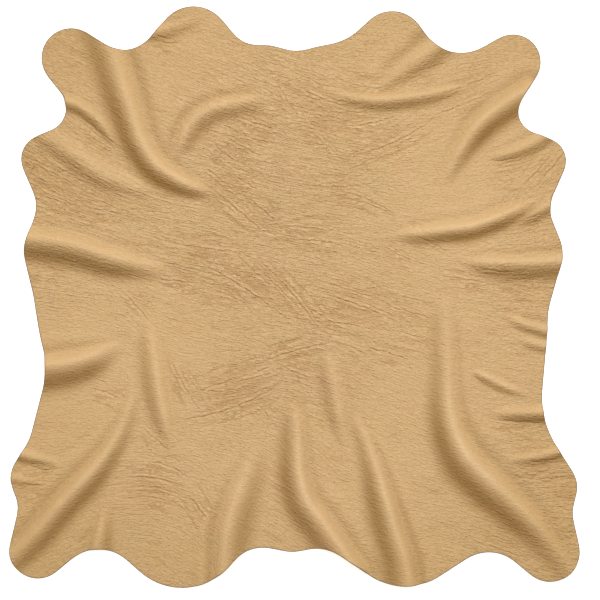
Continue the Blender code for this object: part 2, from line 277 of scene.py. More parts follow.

# %% [markdown]
# ## The folds
# A skin is never quite flat, because its belly and shanks stretched more than its back. Laid out, the
# slack gathers in soft folds that start inside the hide and run off over its edge. Cloth simulation
# would give folds, but not these, so each is listed: a crest route with its height at every
# station, and a width on each side. The numbers are the solid's own, so the sheet lies on the solid.

# %% The crest routes
# The widths right and left of the crest hold where it is highest, and start and end widen or narrow
# them at its two ends. The swell beside it goes from swell to far. Sheen says how much painted
# highlight the crest gets and how much shinier it is, and shade how much painted shade the hollow
# gets. The route gives each station's place and height.
Fold = namedtuple("Fold", "place right left start end swell far sheen shade route")
FOLDS = (
    Fold("left shoulder", 22, 14, 1.9, 0.85, 2.3, 0, 0.5, 1,
         ((-232, 330, 6.2), (-217, 287, 7.4), (-198, 229, 9), (-179, 178, 9.5), (-164, 158, 10),
          (-144, 144, 9), (-121, 133, 7), (-92, 124, 0))),
    Fold("left armpit", 14, 9, 1, 1, 0.1, 0.1, 0.4, 0.9,
         ((-285, 238, 7), (-259, 230, 6.5), (-238, 215, 6), (-220, 194, 4), (-211, 178, 0))),
    Fold("left elbow", 21, 25, 1, 1, 0.1, 0.1, 0.35, 0.6,
         ((-310, 201, 3.5), (-284, 184, 4.4), (-260, 167, 5.5), (-236, 150, 6), (-207, 137, 4.5),
          (-160, 121, 0))),
    Fold("left neck arch", 22, 13, 1, 1, 2, 0.9, 0.7, 1,
         ((-143, 165, 0), (-137, 185, 4), (-124, 209, 5.5), (-101, 226, 5.5), (-66, 234, 4.5),
          (-24, 241, 0))),
    Fold("left cheek pucker", 16, 14, 1, 1, 0, 0, 0.2, 0.8,
         ((-176, 319, 5), (-154, 321, 4.5), (-128, 330, 2.5), (-98, 342, 0))),
    Fold("right cheek", 20, 18, 1, 1.1, 1.5, 2.8, 0.3, 0.8,
         ((93, 246, 0), (120, 265, 3.5), (143, 281, 5), (165, 297, 6.5), (184, 313, 6.5))),
    Fold("right neck", 17, 9, 1, 1, 0.2, 0.2, 0.2, 0.8,
         ((33, 246, 0), (66, 240, 4), (102, 237, 6.5), (132, 240, 7), (165, 245, 6), (210, 256, 0))),
    Fold("right shoulder", 25, 15, 1, 1.1, 0.9, 0.9, 0.5, 0.9,
         ((174, 129, 0), (186, 155, 3.2), (202, 183, 7), (221, 208, 9.5), (246, 228, 10),
          (280, 249, 11))),
    Fold("right elbow", 15, 10, 1, 1, 0.9, 0.9, 0.3, 0.8,
         ((227, 168, 0), (258, 174, 4.5), (285, 185, 5.5), (314, 205, 5.5))),
    Fold("right fore belly", 20, 13, 1, 1, 0.6, 0.3, 0.6, 0.8,
         ((112, 75, 0), (144, 77, 6), (177, 81, 8.5), (210, 85, 9.5), (243, 96, 9), (270, 107, 6),
          (300, 119, 0))),
    Fold("right fore belly edge", 15, 9, 1, 1, 0.2, 0.2, 0.3, 0.8,
         ((255, 82, 0), (285, 100, 5), (314, 117, 6.5))),
    Fold("right flap", 24, 12, 1, 1.1, 0.5, 0.5, 0.5, 0.8,
         ((196, 45, 0), (234, 42, 7), (276, 42, 8.5), (336, 45, 9))),
    Fold("right belly, fore pucker", 12, 9, 1, 1, 0.5, 0.5, 0.3, 0.8,
         ((246, -21, 0), (276, -32, 4.5), (321, -45, 5.5))),
    Fold("right belly, hind pucker", 10, 8, 1, 1, 0.3, 0.3, 0.3, 0.8,
         ((261, -47, 0), (288, -56, 3.5), (321, -63, 4))),
    Fold("right flank, inner pucker", 11, 7, 1, 1, 0.6, 0.6, 1, 0.8,
         ((208, -85, 0), (231, -96, 4.5), (254, -107, 4.5), (290, -119, 0))),
    Fold("right flank", 17, 10, 1, 1, 0.2, 0.2, 0.4, 0.8,
         ((230, -139, 0), (264, -138, 6), (316, -137, 8.5))),
    Fold("right knee", 13, 9, 1, 1, 0.2, 0.2, 0.3, 0.8,
         ((244, -195, 0), (276, -193, 4.5), (306, -187, 5.5), (340, -177, 6))),
    Fold("right hind leg", 33, 18, 1.15, 1.15, 2, 0.2, 1, 0.95,
         ((179, 9, 0), (182, -45, 3), (184, -99, 4.5), (185, -129, 6.5), (193, -164, 9),
          (209, -194, 12), (235, -221, 12.5), (266, -249, 10.5), (298, -283, 6.5), (337, -336, 3))),
    Fold("tail", 28, 14, 1.2, 1.15, 1, 1, 0.95, 0.8,
         ((-5, -121, 0), (2, -147, 4), (4, -177, 6.5), (7, -217, 9.5), (16, -246, 11.5), (33, -269, 12),
          (76, -330, 12))),
    Fold("rump pucker", 16, 12, 1.5, 1, 0.8, 0.8, 0.8, 0.8,
         ((38, -56, 0), (46, -99, 4.3), (53, -138, 4.3), (63, -191, 0))),
    Fold("right butt", 29, 13, 0.85, 1.25, 0.8, 1.9, 1, 0.8,
         ((62, -119, 0), (83, -164, 2.8), (98, -203, 6), (109, -240, 8.5), (120, -277, 9.5),
          (132, -315, 10), (139, -371, 9))),
    Fold("left butt", 30, 15, 1, 1.2, 3, 0.5, 0.9, 0.8,
         ((-86, -368, 6.8), (-85, -315, 6.8), (-81, -279, 7), (-72, -247, 6), (-59, -212, 4),
          (-42, -171, 0))),
    Fold("left hind leg", 24, 14, 1.15, 1, 1, 1.5, 0.9, 0.8,
         ((-353, -325, 6), (-326, -299, 8), (-305, -276, 9.5), (-282, -249, 10), (-258, -224, 10),
          (-233, -196, 7.5), (-214, -167, 5), (-200, -134, 2.5), (-193, -85, 0))),
    Fold("left flank, inner", 20, 12.5, 1.3, 1, 0.5, 0.5, 0.8, 0.6,
         ((-178, -18, 0), (-170, -63, 4.2), (-164, -105, 6.3), (-157, -140, 5.8), (-146, -190, 0))),
    Fold("left belly", 36, 17, 1, 1, 0.9, 0.9, 0.3, 0.8,
         ((-318, -83, 12.5), (-282, -80, 12), (-248, -72, 8.5), (-204, -51, 0))),
    Fold("left knee", 13, 10, 1, 1, 0.1, 0.1, 0.3, 0.8,
         ((-351, -181, 6), (-324, -189, 5.5), (-300, -195, 3.5), (-272, -205, 0))),
    Fold("left knee pucker", 9, 8, 1, 1, 0.1, 0.1, 0.3, 0.8,
         ((-351, -215, 3), (-327, -219, 2.5), (-294, -225, 0))),
    Fold("left thigh", 20, 12, 1.1, 1, 0.8, 0.8, 1, 0.8,
         ((-243, -330, 6.5), (-236, -291, 6), (-224, -241, 0))),
    Fold("left flap", 31, 20, 1, 1, 0.15, 0.15, 0.2, 0.8,
         ((-354, 73, 12.5), (-318, 71, 12.5), (-282, 66, 12.5), (-252, 59, 12), (-222, 49, 10.5),
          (-192, 41, 7), (-144, 27, 0))),
)
END_WIDTH = 0.45
SWELL_HEIGHT, SWELL_PLACE, SWELL_WIDTH = 0.15, 1.7, 0.95
REACH = 2.7
SLOPE_REACH = 0.2

Lift = namedtuple("Lift", "place x y radius height")
LIFTS = (
    Lift("left cheek", -147, 359, 64, 6.0),
    Lift("right cheek", 170, 340, 56, 6.0),
    Lift("right fore shank", 300, 309, 42, 3.0),
    Lift("right elbow", 334, 166, 38, 2.5),
)

highest = max(station[2] for fold in FOLDS for station in fold.route)
print(len(FOLDS), "folds; the highest crest is", highest, "mm")

# %% The crest of a fold


def through(values, slopes, spans, step):
    """Points about one step apart on the smooth curve with these values and slopes at its stations."""
    curve = []
    for index, span in enumerate(spans):
        t = np.linspace(0, 1, max(2, round(span / step)), endpoint=False)[:, None]
        curve.append(
            (2 * t**3 - 3 * t**2 + 1) * values[index]
            + (t**3 - 2 * t**2 + t) * span * slopes[index]
            + (3 * t**2 - 2 * t**3) * values[index + 1]
            + (t**3 - t**2) * span * slopes[index + 1]
        )
    return np.vstack(curve + [values[-1:]])


def crest_line(fold, step):
    """The fold's crest: its plan as x and y, and its height, at points about one step apart."""
    stations = np.array(fold.route, float)
    plan, heights = stations[:, :2], stations[:, 2:]
    spans = np.hypot(*np.diff(plan, axis=0).T)[:, None]
    before, after = spans[:-1], spans[1:]

    # Between two spans the crest heads between their two headings, and each end keeps bending on.
    run = np.diff(plan, axis=0) / spans
    inner = (run[:-1] * after + run[1:] * before) / (before + after)
    plan_slopes = np.vstack((1.5 * run[:1] - 0.5 * inner[:1], inner, 1.5 * run[-1:] - 0.5 * inner[-1:]))

    # The height is level at both ends and at every top and dip, so it never overshoots a station.
    climb = np.diff(heights, axis=0) / spans
    same_way = climb[:-1] * climb[1:] > 0
    both = np.where(same_way, climb[:-1] + climb[1:], 1)
    inner = np.where(same_way, 2 * climb[:-1] * climb[1:] / both, 0)
    height_slopes = np.vstack(([[0]], inner, [[0]]))

    spans = spans[:, 0]
    return through(plan, plan_slopes, spans, step), through(heights, height_slopes, spans, step)[:, 0]


# %% The section of a fold, and the places abreast of it


def hill(share):
    """A rounded rise: 1 in the middle, 0 from one width on, with no corner anywhere."""
    return (1 - np.clip(share, -1, 1) ** 2) ** 3


def section(fold, share, along):
    """The section of a fold: the crest, and the low swell that its slack throws up to its left."""
    return hill(share) + swell(fold, along) * SWELL_HEIGHT * hill((share + SWELL_PLACE) / SWELL_WIDTH)


def swell(fold, along):
    """How strong the swell is at this share of the fold's length."""
    return fold.swell + (fold.far - fold.swell) * along


def abreast(fold, points):
    """For each point, the crest's height beside it, how many widths to the right of it the point
    lies, and what share of the fold's length is behind it there."""
    crest, heights = crest_line(fold, FINE_STEP)
    last, gap = len(crest) - 1, np.hypot(*np.diff(crest, axis=0).T).mean()
    nearest = np.argmin(np.hypot(*(points[:, None] - crest[None]).transpose(2, 0, 1)), axis=1)
    offset = points - crest[nearest]
    heading = headings_of(crest)[nearest]
    aside = offset[:, 0] * heading[:, 1] - offset[:, 1] * heading[:, 0]
    reached = nearest + np.sum(offset * heading, axis=1) / gap
    place = np.clip(reached, 0, last)
    height = np.interp(place, np.arange(last + 1), heights)
    along = place / last
    width = np.where(aside > 0, fold.right, fold.left)
    width = width * (END_WIDTH + (1 - END_WIDTH) * height / heights.max())
    width = width * (fold.start + (fold.end - fold.start) * along)
    return height, np.sign(aside) * np.hypot(aside, (reached - place) * gap) / width, along


def in_reach(fold, points):
    """Which points are near enough to the fold to be moved or tinted by it."""
    reach = REACH * max(fold.right, fold.left) * max(fold.start, fold.end)
    route = crest_line(fold, FINE_STEP)[0]
    low, high = route.min(axis=0) - reach, route.max(axis=0) + reach
    return np.flatnonzero(np.all((points > low) & (points < high), axis=1))


# %% The lie of the sheet


def sheet_height(points):
    """Height of the sheet's underside: folds that meet blend, and flat parts lie at exactly 0."""
    squares = np.zeros(len(points))
    for fold in FOLDS:
        near = in_reach(fold, points)
        height, share, along = abreast(fold, points[near])
        squares[near] += (height * section(fold, share, along)) ** 2
    for lift in LIFTS:
        distance = np.hypot(points[:, 0] - lift.x, points[:, 1] - lift.y)
        squares += (lift.height * hill(distance / lift.radius)) ** 2
    return np.sqrt(squares)


def upward(points):
    """The sheet's unit normal at each point, from its slopes a hair's breadth either side."""
    slopes = [(sheet_height(points + step) - sheet_height(points - step)) / (2 * SLOPE_REACH)
              for step in (np.array([SLOPE_REACH, 0]), np.array([0, SLOPE_REACH]))]
    normals = np.column_stack((-slopes[0], -slopes[1], np.ones(len(points))))
    return normals / np.linalg.norm(normals, axis=1)[:, None]


rim_heights = sheet_height(edge)
print("the rim lies flat along", round(100 * np.mean(rim_heights == 0)), "% of its length")

# %% [markdown]
# ## How the skin lies in each part
# On a real hide the wrinkles run across the way the skin was stretched, so they lie differently in
# each part: they slope down across the left shoulder, climb across the right one and fan out towards
# each shank. One direction all over would look like printed paper. So a table gives the turn of the
# wrinkles and how deep they are at named places, and every point blends the places near it.

# %% The lay of the wrinkles
Lay = namedtuple("Lay", "place x y turn depth")
LAYS = (
    Lay("left fore shank", -280, 290, -14, 1.05),
    Lay("left shoulder", -215, 250, -42, 0.8),
    Lay("left elbow", -310, 150, -26, 1.5),
    Lay("left armpit", -240, 150, -21, 1.3),
    Lay("behind the left shoulder", -120, 120, -10, 1.05),
    Lay("left cheek", -130, 290, -13, 0.7),
    Lay("left neck", -70, 210, -20, 1.5),
    Lay("neck", 10, 250, -17, 1.15),
    Lay("right neck", 60, 200, -9, 1.45),
    Lay("withers", 30, 130, -5, 1.0),
    Lay("right cheek", 120, 280, 4, 0.75),
    Lay("behind the right cheek", 100, 190, 0, 1.05),
    Lay("behind the right shoulder", 175, 130, -2, 0.45),
    Lay("right shoulder", 165, 215, 19, 0.95),
    Lay("right shoulder blade", 240, 215, 35, 0.7),
    Lay("right fore shank", 285, 280, -8, 0.75),
    Lay("right elbow", 300, 140, 28, 0.95),
    Lay("left ribs, fore", -190, 80, -15, 1.05),
    Lay("back, fore left", -100, 50, -8, 1.3),
    Lay("back, fore", 10, 60, -10, 1.1),
    Lay("back, middle", 20, 0, -14, 1.15),
    Lay("back, fore right", 100, 30, -20, 1.0),
    Lay("right ribs, fore", 190, 50, -10, 0.75),
    Lay("right flap", 290, 50, 5, 1.5),
    Lay("left flap", -290, 50, -8, 1.25),
    Lay("left belly", -280, -60, -2, 0.65),
    Lay("left ribs", -170, -50, -27, 0.6),
    Lay("loin, left side", -130, -100, -6, 0.6),
    Lay("loin, left", -60, -90, 6, 1.1),
    Lay("loin", 30, -50, -13, 1.1),
    Lay("right ribs", 150, -80, -16, 0.75),
    Lay("right flank", 290, -80, -8, 0.8),
    Lay("left knee", -280, -170, 0, 0.6),
    Lay("left thigh", -190, -200, -4, 0.8),
    Lay("rump, left", -100, -180, -16, 0.7),
    Lay("rump", 10, -200, -38, 0.9),
    Lay("right butt", 100, -230, -20, 0.75),
    Lay("right thigh", 190, -200, -15, 0.8),
    Lay("right thigh, hind", 160, -270, -6, 0.75),
    Lay("right hind leg", 255, -250, -30, 0.85),
    Lay("right knee", 310, -215, 13, 1.4),
    Lay("left butt", -120, -280, -28, 0.8),
    Lay("left hind leg", -232, -240, 22, 0.85),
    Lay("left hind shank", -290, -280, 30, 0.8),
)
LAY_REACH = 48.0
# Far from every place, this keeps the sum of their shares above 0.
LEAST_SHARE = 1e-9


def lay_at(points):
    """The turn of the wrinkles in degrees, and their depth: each place counts where it is near."""
    total, turn, depth = 0, 0, 0
    for lay in LAYS:
        squared = (points[:, 0] - lay.x) ** 2 + (points[:, 1] - lay.y) ** 2
        weight = np.exp(-squared / (2 * LAY_REACH**2)) + LEAST_SHARE
        total = total + weight
        turn = turn + weight * lay.turn
        depth = depth + weight * lay.depth
    return turn / total, depth / total


turns = [lay.turn for lay in LAYS]
print("at", len(LAYS), "places the wrinkles turn from", min(turns), "to", max(turns), "degrees")

# %% [markdown]
# ## Rulers drawn on the skin
# Fine wrinkles are long lines that bend with the skin. Ripples drawn straight could not follow them,
# and ripples turned by a changing angle smear. So the skin gets two rulers of its own, one along the
# wrinkles and one across them. Each starts as the plain x or y distance and is bent by soft hills,
# whose heights are solved so that the ruler stands still one way and climbs evenly the other way.

# %% The rulers along and across the wrinkles
HILL_STEP, HILL_REACH = 55.0, 55.0
SAMPLE_STEP = 22.0
# An even climb counts for this much beside standing still, and faint hills are left out.
EVENNESS, FAINTEST = 0.4, 1e-6


def hexagon_grid(step):
    """Points over the whole hide, each row set half a step on from the one before."""
    reach = np.abs(edge).max() + step
    rows = np.arange(-reach, reach, step * math.sqrt(3) / 2)
    across = np.arange(-reach, reach, step)
    return np.vstack([
        np.column_stack((across + step / 2 * (index % 2), np.full(len(across), row)))
        for index, row in enumerate(rows)
    ])


hill_middles = hexagon_grid(HILL_STEP)


def soft_hills(points):
    """How high each soft hill stands at each point."""
    away = points[:, None] - hill_middles[None]
    return np.exp(-np.sum(away**2, axis=2) / (2 * HILL_REACH**2))


def bent_ruler(still, climbing, start):
    """The hills that bend a ruler from its straight start: level along still, even along climbing."""
    samples = hexagon_grid(SAMPLE_STEP)
    away = samples[:, None] - hill_middles[None]
    slopes = -away * soft_hills(samples)[:, :, None] / HILL_REACH**2
    level = np.einsum("shk,sk->sh", slopes, still)
    even = np.einsum("shk,sk->sh", slopes, climbing) * EVENNESS
    wanted = np.concatenate((-still @ start, (1 - climbing @ start) * EVENNESS))
    return np.linalg.lstsq(np.vstack((level, even)), wanted, rcond=FAINTEST)[0]


lie = np.radians(lay_at(hexagon_grid(SAMPLE_STEP))[0])
lengthways = np.column_stack((np.cos(lie), np.sin(lie)))
crossways = np.column_stack((-np.sin(lie), np.cos(lie)))
along_hills = bent_ruler(crossways, lengthways, np.array([1.0, 0.0]))
across_hills = bent_ruler(lengthways, crossways, np.array([0.0, 1.0]))


def ruled(points):
    """Each point's reading on the ruler along the wrinkles and on the one across them."""
    readings = [soft_hills(part) @ np.column_stack((along_hills, across_hills))
                for part in np.array_split(points, PARTS)]
    return (points + np.vstack(readings)).T


climb = (ruled(edge + [0, 1])[1] - ruled(edge)[1]).round(2)
print("the ruler across climbs", climb.min(), "to", climb.max(), "mm a millimetre at the rim")

# %% [markdown]
# ## The creases pressed into the grain
# Where a skin has been folded and pressed, the grain keeps a fine line: a soft trough with a slightly
# raised lip on each side. The long ones cross the shoulders, the loin and the rump, with shorter ones
# at their sides, and short shallow ones lie all over. Such lines could be bump in the finish alone,
# but then the mesh would be smooth where the leather is not. So each long crease is listed, by
# its middle, length, turn and bend; the others come from dice with a fixed seed, as no one of them
# matters; and the mesh gets points of its own along them all.

# %% The crease routes
# The turn is in degrees in the middle, the bend is how many degrees it turns from end to end, and
# the other sizes are in millimetres.
Crease = namedtuple("Crease", "place x y length turn bend depth")
CREASES = (
    Crease("shoulder to loin", -71, 107, 88, -40, -4, 1.1),
    Crease("ribs to loin", -58, 9, 130, -33, -12, 1),
    Crease("middle of the back", -2, 3, 114, -49, -16, 1),
    Crease("root of the neck", 30, 189, 62, -40, -3, 0.7),
    Crease("middle of the neck", -9, 236, 56, -59, 10, 0.6),
    Crease("across the neck", 38, 236, 92, -22, 28, 0.8),
    Crease("across the neck, hind", 46, 215, 108, -6, 26, 0.8),
    Crease("left side of the neck", -10, 235, 66, -29, 0, 0.7),
    Crease("behind the neck", 33, 198, 58, -18, 6, 0.7),
    Crease("right side of the neck", 84, 207, 84, 8, 28, 0.7),
    Crease("left of the neck", -55, 192, 70, -21, 26, 1.0),
    Crease("left of the neck, inner", -42, 207, 62, -17, 10, 0.9),
    Crease("left withers, fore", -83, 171, 42, -38, 30, 0.9),
    Crease("left withers", -60, 179, 50, -28, 6, 0.9),
    Crease("left withers, hind", -63, 140, 50, -34, 12, 0.8),
    Crease("left withers, inner", -84, 137, 62, -39, 0, 0.8),
    Crease("between the shoulders", 50, 132, 92, 0, 20, 0.7),
    Crease("right withers", 120, 186, 127, 24, 30, 0.8),
    Crease("right withers, inner", 84, 161, 69, 26, 7, 0.6),
    Crease("right blade", 80, 120, 100, -20, -32, 0.8),
    Crease("across the back", 31, 67, 59, -7, -20, 0.9),
    Crease("across the back, left", -22, 76, 56, -10, 0, 0.7),
    Crease("across the back, fore", 8, 84, 88, -6, -6, 0.7),
    Crease("shoulder to loin, fore", -39, 105, 60, -40, 0, 0.8),
    Crease("middle of the back, left", -20, 12, 84, -44, -6, 0.8),
    Crease("ribs to loin, fore", -44, 27, 70, -42, 4, 0.8),
    Crease("ribs to loin, left", -108, 18, 86, -20, -14, 0.8),
    Crease("ribs to loin, outer", -124, 34, 78, -14, -6, 0.8),
    Crease("along the left ribs", -106, 58, 108, -8, 12, 0.8),
    Crease("right loin, fore", 74, 6, 94, -18, -8, 0.8),
    Crease("loin", 33, -23, 66, -32, 0, 0.7),
    Crease("loin, hind", 52, -31, 62, -6, -16, 0.8),
    Crease("right loin", 80, -11, 101, -21, -11, 0.8),
    Crease("right loin, outer", 106, -17, 60, -26, -18, 0.6),
    Crease("right ribs", 157, 68, 66, -24, -8, 0.6),
    Crease("right ribs, inner", 129, 49, 60, -25, 11, 0.6),
    Crease("right ribs, middle", 138, -18, 70, -16, -4, 0.7),
    Crease("right ribs, hind", 142, -46, 66, -16, -4, 0.7),
    Crease("before the right flap", 205, 21, 72, -8, 6, 0.7),
    Crease("fore rump", 2, -64, 91, 16, -14, 0.9),
    Crease("left rump", -72, -132, 136, 20, 30, 1),
    Crease("rump, fore", -84, -102, 90, 18, -6, 0.8),
    Crease("rump, long", -58, -117, 108, 13, 28, 0.8),
    Crease("rump, first", -53, -93, 63, 15, 36, 0.7),
    Crease("rump, second", -62, -100, 92, 11, 18, 0.7),
    Crease("rump, third", -77, -112, 61, 8, 30, 0.7),
    Crease("head of the tail", 10, -94, 62, -18, 36, 0.8),
    Crease("beside the tail", -35, -139, 35, -49, 0, 0.6),
    Crease("right rump", 112, -67, 57, -16, -16, 0.8),
    Crease("right rump, inner", 68, -60, 55, -22, -30, 0.6),
    Crease("left ribs", -138, 57, 41, -8, 7, 0.6),
    Crease("left ribs, top", -222, 103, 84, -10, 4, 0.7),
    Crease("behind the left flap", -138, 19, 52, -6, -6, 0.9),
    Crease("left ribs, steep", -186, -15, 56, -48, -8, 0.6),
    Crease("left ribs, fore", -150, 68, 28, -24, 0, 0.6),
    Crease("left ribs, hind", -79, 2, 58, -23, -20, 0.7),
    Crease("left ribs, inner", -78, 45, 26, 0, 0, 0.6),
    Crease("behind the shoulder", -97, 123, 41, -34, 0, 0.7),
    Crease("left elbow", -240, 139, 115, -30, 38, 0.6),
    Crease("left elbow, first", -279, 153, 92, -32, 6, 0.8),
    Crease("left elbow, second", -288, 147, 80, -27, 4, 0.8),
    Crease("left elbow, third", -248, 120, 110, -22, 10, 0.7),
    Crease("left elbow, fourth", -212, 135, 112, -24, 14, 0.7),
    Crease("left elbow, fifth", -198, 107, 98, -11, 8, 0.6),
    Crease("left elbow, sixth", -272, 112, 80, -15, 6, 0.6),
    Crease("left armpit", -234, 198, 54, -38, 6, 0.7),
    Crease("left cheek, rim", -156, 311, 26, -12, 8, 1.0),
    Crease("left cheek, hind", -152, 305, 34, -5, 14, 0.8),
    Crease("left cheek", -132, 330, 34, 8, 10, 0.7),
    Crease("left elbow, hind", -225, 129, 36, -27, 0, 0.7),
    Crease("left elbow, rim", -306, 161, 34, -23, 0, 1),
    Crease("left elbow, outer", -304, 141, 47, -25, 30, 0.9),
    Crease("left elbow, lower", -290, 126, 59, -24, 26, 0.9),
    Crease("under the right neck", 62, 225, 70, -4, 38, 0.8),
    Crease("under the right neck, fore", 62, 234, 53, -11, 22, 0.6),
    Crease("above the right neck", 84, 252, 87, -10, 45, 0.6),
    Crease("right cheek", 153, 272, 69, 18, -1, 0.7),
    Crease("right cheek, inner", 138, 263, 61, 10, -12, 0.6),
    Crease("right shank", 210, 255, 78, 22, 10, 0.7),
    Crease("right shank, hind", 205, 232, 80, 22, 6, 0.6),
    Crease("right elbow, rim", 312, 159, 48, 50, 10, 0.7),
    Crease("right elbow, outer", 292, 152, 54, 48, 10, 0.7),
    Crease("right elbow", 259, 165, 50, 11, 42, 0.7),
    Crease("right elbow, hind", 268, 159, 56, 13, 24, 0.6),
    Crease("right fore belly", 269, 110, 42, 35, 6, 0.7),
    Crease("right fore belly, hind", 280, 94, 46, 20, 5, 0.8),
    Crease("right flap", 251, 30, 63, -4, 20, 0.9),
    Crease("right flap, hind", 273, 21, 56, 0, 20, 0.7),
    Crease("below the right flap", 268, 9, 60, -4, 12, 0.7),
    Crease("right flank", 270, -150, 56, -4, 8, 0.8),
    Crease("right knee", 292, -197, 56, 0, 40, 0.9),
    Crease("right knee, hind", 294, -210, 50, 0, 44, 0.8),
    Crease("right knee, last", 312, -217, 46, 4, 12, 0.8),
    Crease("left knee", -300, -207, 40, -8, 50, 0.8),
    Crease("left knee, hind", -311, -226, 34, -4, 45, 0.7),
    Crease("left thigh, fore", -148, -204, 52, -22, -40, 0.7),
    Crease("left thigh", -164, -218, 81, -10, -35, 0.8),
    Crease("left thigh, hind", -161, -242, 97, -11, -55, 0.7),
    Crease("left thigh, middle", -162, -230, 92, -10, -46, 0.65),
    Crease("left thigh, last", -115, -253, 40, -52, -10, 1),
    Crease("below the flank pucker", -165, -172, 44, -40, 0, 0.6),
    Crease("left belly", -227, -114, 46, -19, -24, 0.7),
    Crease("left flank", -132, -107, 72, -60, 7, 0.7),
    Crease("right hind shank", 246, -303, 76, -18, 0, 0.6),
)

# %% The lesser creases and the stray ones
BESIDE_SEED, BESIDE_COUNT = 11, 6
BESIDE_GAP, BESIDE_SHIFT, BESIDE_TURN = (4.4, 5.8), 14.0, 4.5
BESIDE_LENGTH, BESIDE_DEPTH = (0.4, 0.9), (0.4, 0.85)
STRAY_SEED, STRAY_COUNT, STRAY_SPARE = 5, 1400, 3
STRAY_TURN, STRAY_BEND, STRAY_LENGTH, STRAY_DEPTH = 9.0, 15.0, (12.0, 36.0), (0.15, 0.45)
CREASE_STEP = 2.2
CREASE_HALF_WIDTH = 2.5
CREASE_ROWS = (0.0, 0.95, -0.95, 1.9, -1.9)
CREASE_SPACING = 1.5
# A crease wavers twice over: slowly, and then by this share of that at this many times the pace.
WOBBLE, WOBBLE_LENGTH, QUICK_SHARE, QUICK_PACE = 0.45, 21.0, 0.5, 2.3
END_FADE = 0.45


def lesser_creases():
    """Shorter, shallower creases beside the main ones, each a little out of line with its neighbour."""
    dice = np.random.default_rng(BESIDE_SEED)
    made = []
    for crease in CREASES:
        heading = math.radians(crease.turn)
        for number in range(BESIDE_COUNT):
            aside = (number // 2 + 1) * (-1) ** number * dice.uniform(*BESIDE_GAP)
            along = dice.uniform(-BESIDE_SHIFT, BESIDE_SHIFT)
            made.append(Crease(
                crease.place + ", beside",
                crease.x + along * math.cos(heading) - aside * math.sin(heading),
                crease.y + along * math.sin(heading) + aside * math.cos(heading),
                crease.length * dice.uniform(*BESIDE_LENGTH),
                crease.turn + dice.uniform(-BESIDE_TURN, BESIDE_TURN),
                crease.bend,
                crease.depth * dice.uniform(*BESIDE_DEPTH)))
    return made


def stray_creases():
    """Short shallow creases all over the hide, each along the lay of the skin there."""
    dice = np.random.default_rng(STRAY_SEED)
    reach = np.abs(edge).max(axis=0)
    places = dice.uniform(-reach, reach, (STRAY_SPARE * STRAY_COUNT, 2))
    places = places[inside(places, edge)][:STRAY_COUNT]
    turns, depths = lay_at(places)
    return [Crease("stray", x, y, dice.uniform(*STRAY_LENGTH),
                   turn + dice.uniform(-STRAY_TURN, STRAY_TURN),
                   dice.uniform(-STRAY_BEND, STRAY_BEND), depth * dice.uniform(*STRAY_DEPTH))
            for (x, y), turn, depth in zip(places, turns, depths)]


def crease_line(crease, step):
    """The crease's plan, as points about one step apart, and how deep it is there: 0 at its ends."""
    along = np.linspace(-0.5, 0.5, max(4, round(crease.length / step)))
    heading = np.radians(crease.turn + crease.bend * along)
    strides = np.column_stack((np.cos(heading), np.sin(heading))) * crease.length / len(along)
    line = np.cumsum(strides, axis=0)
    line += np.array([crease.x, crease.y]) - line[len(line) // 2]
    wave = 2 * np.pi * (along * crease.length / WOBBLE_LENGTH + crease.x / WOBBLE_LENGTH)
    aside = np.column_stack((-np.sin(heading), np.cos(heading)))
    line += WOBBLE * (np.sin(wave) + QUICK_SHARE * np.sin(QUICK_PACE * wave))[:, None] * aside
    return line, crease.depth * (1 - (2 * along) ** 2) ** END_FADE


lesser, stray = lesser_creases(), stray_creases()
print(len(CREASES), "creases,", len(lesser), "lesser ones beside them and", len(stray), "stray ones")

# %% [markdown]
# ## One closed sheet
# The leather is 1.4 mm thick, cut square by the knife and rounded a little by handling. A flat mesh
# with a thickness added would have walls as sharp as card, and would spend as many triangles below
# as above. So the sheet is two nets of triangles joined by rings round the rim: a fine one on the
# grain side, with points along every crease, and a coarser one on the flesh side, with points along
# the folds.

# %% Points of the two faces
THICKNESS = 1.4
GRAIN_STEP = 3.3
FLESH_STEP = 7.5
FOLD_STEP = 7.0
FOLD_ROWS = (0.0, 0.25, -0.25, 0.5, -0.5, 0.75, -0.75, 1.0, -1.0)
CLOSEST = 0.55
INSIDE_BORDER = 1
SAME_POINT = 1e-6

Ring = namedtuple("Ring", "inset share")
RIM = (Ring(1.0, 1.0), Ring(0.45, 0.93), Ring(0.12, 0.72),
       Ring(0.0, 0.45), Ring(0.1, 0.15), Ring(0.45, 0.0))


def rows_along(plan, distances):
    """Rows of points beside a curve, at these distances to its right."""
    headings = headings_of(plan)
    rightwards = np.column_stack((headings[:, 1], -headings[:, 0]))
    return np.vstack([plan + distance * rightwards for distance in distances])


def spread(border, wanted):
    """The wanted points that lie inside the border and clear of those before them."""
    kept = np.empty((0, 2))
    for candidates, spacing in wanted:
        candidates = candidates[inside(candidates, border)]
        there = np.vstack((border, kept))
        tree = KDTree(len(there))
        for index, point in enumerate(there):
            tree.insert((*point, 0), index)
        tree.balance()
        clear = [tree.find((*point, 0))[2] > CLOSEST * spacing for point in candidates]
        kept = np.vstack((kept, candidates[clear]))
    return kept


def thinned(candidates, spacing):
    """The candidates without those that come too near to an earlier one."""
    taken, kept = {}, []
    size = CLOSEST * spacing
    for point in candidates:
        cell = tuple(np.floor(point / size).astype(int))
        around = [taken.get((cell[0] + i, cell[1] + j)) for i in (-1, 0, 1) for j in (-1, 0, 1)]
        if all(other is None or np.hypot(*(other - point)) > size for other in around):
            taken[cell] = point
            kept.append(point)
    return np.array(kept)


def face_of(border, wanted):
    """A face of the sheet in plan: its points, the border's first, and its triangles."""
    plan = np.vstack((border, spread(border, wanted)))
    loop = list(range(len(border)))[::-1]
    plan_points = [Vector(point) for point in plan]
    made = delaunay_2d_cdt(plan_points, [], [loop], INSIDE_BORDER, SAME_POINT)
    assert len(made[0]) == len(plan), "two points of the sheet fell together"
    return np.array(made[0]), made[2]


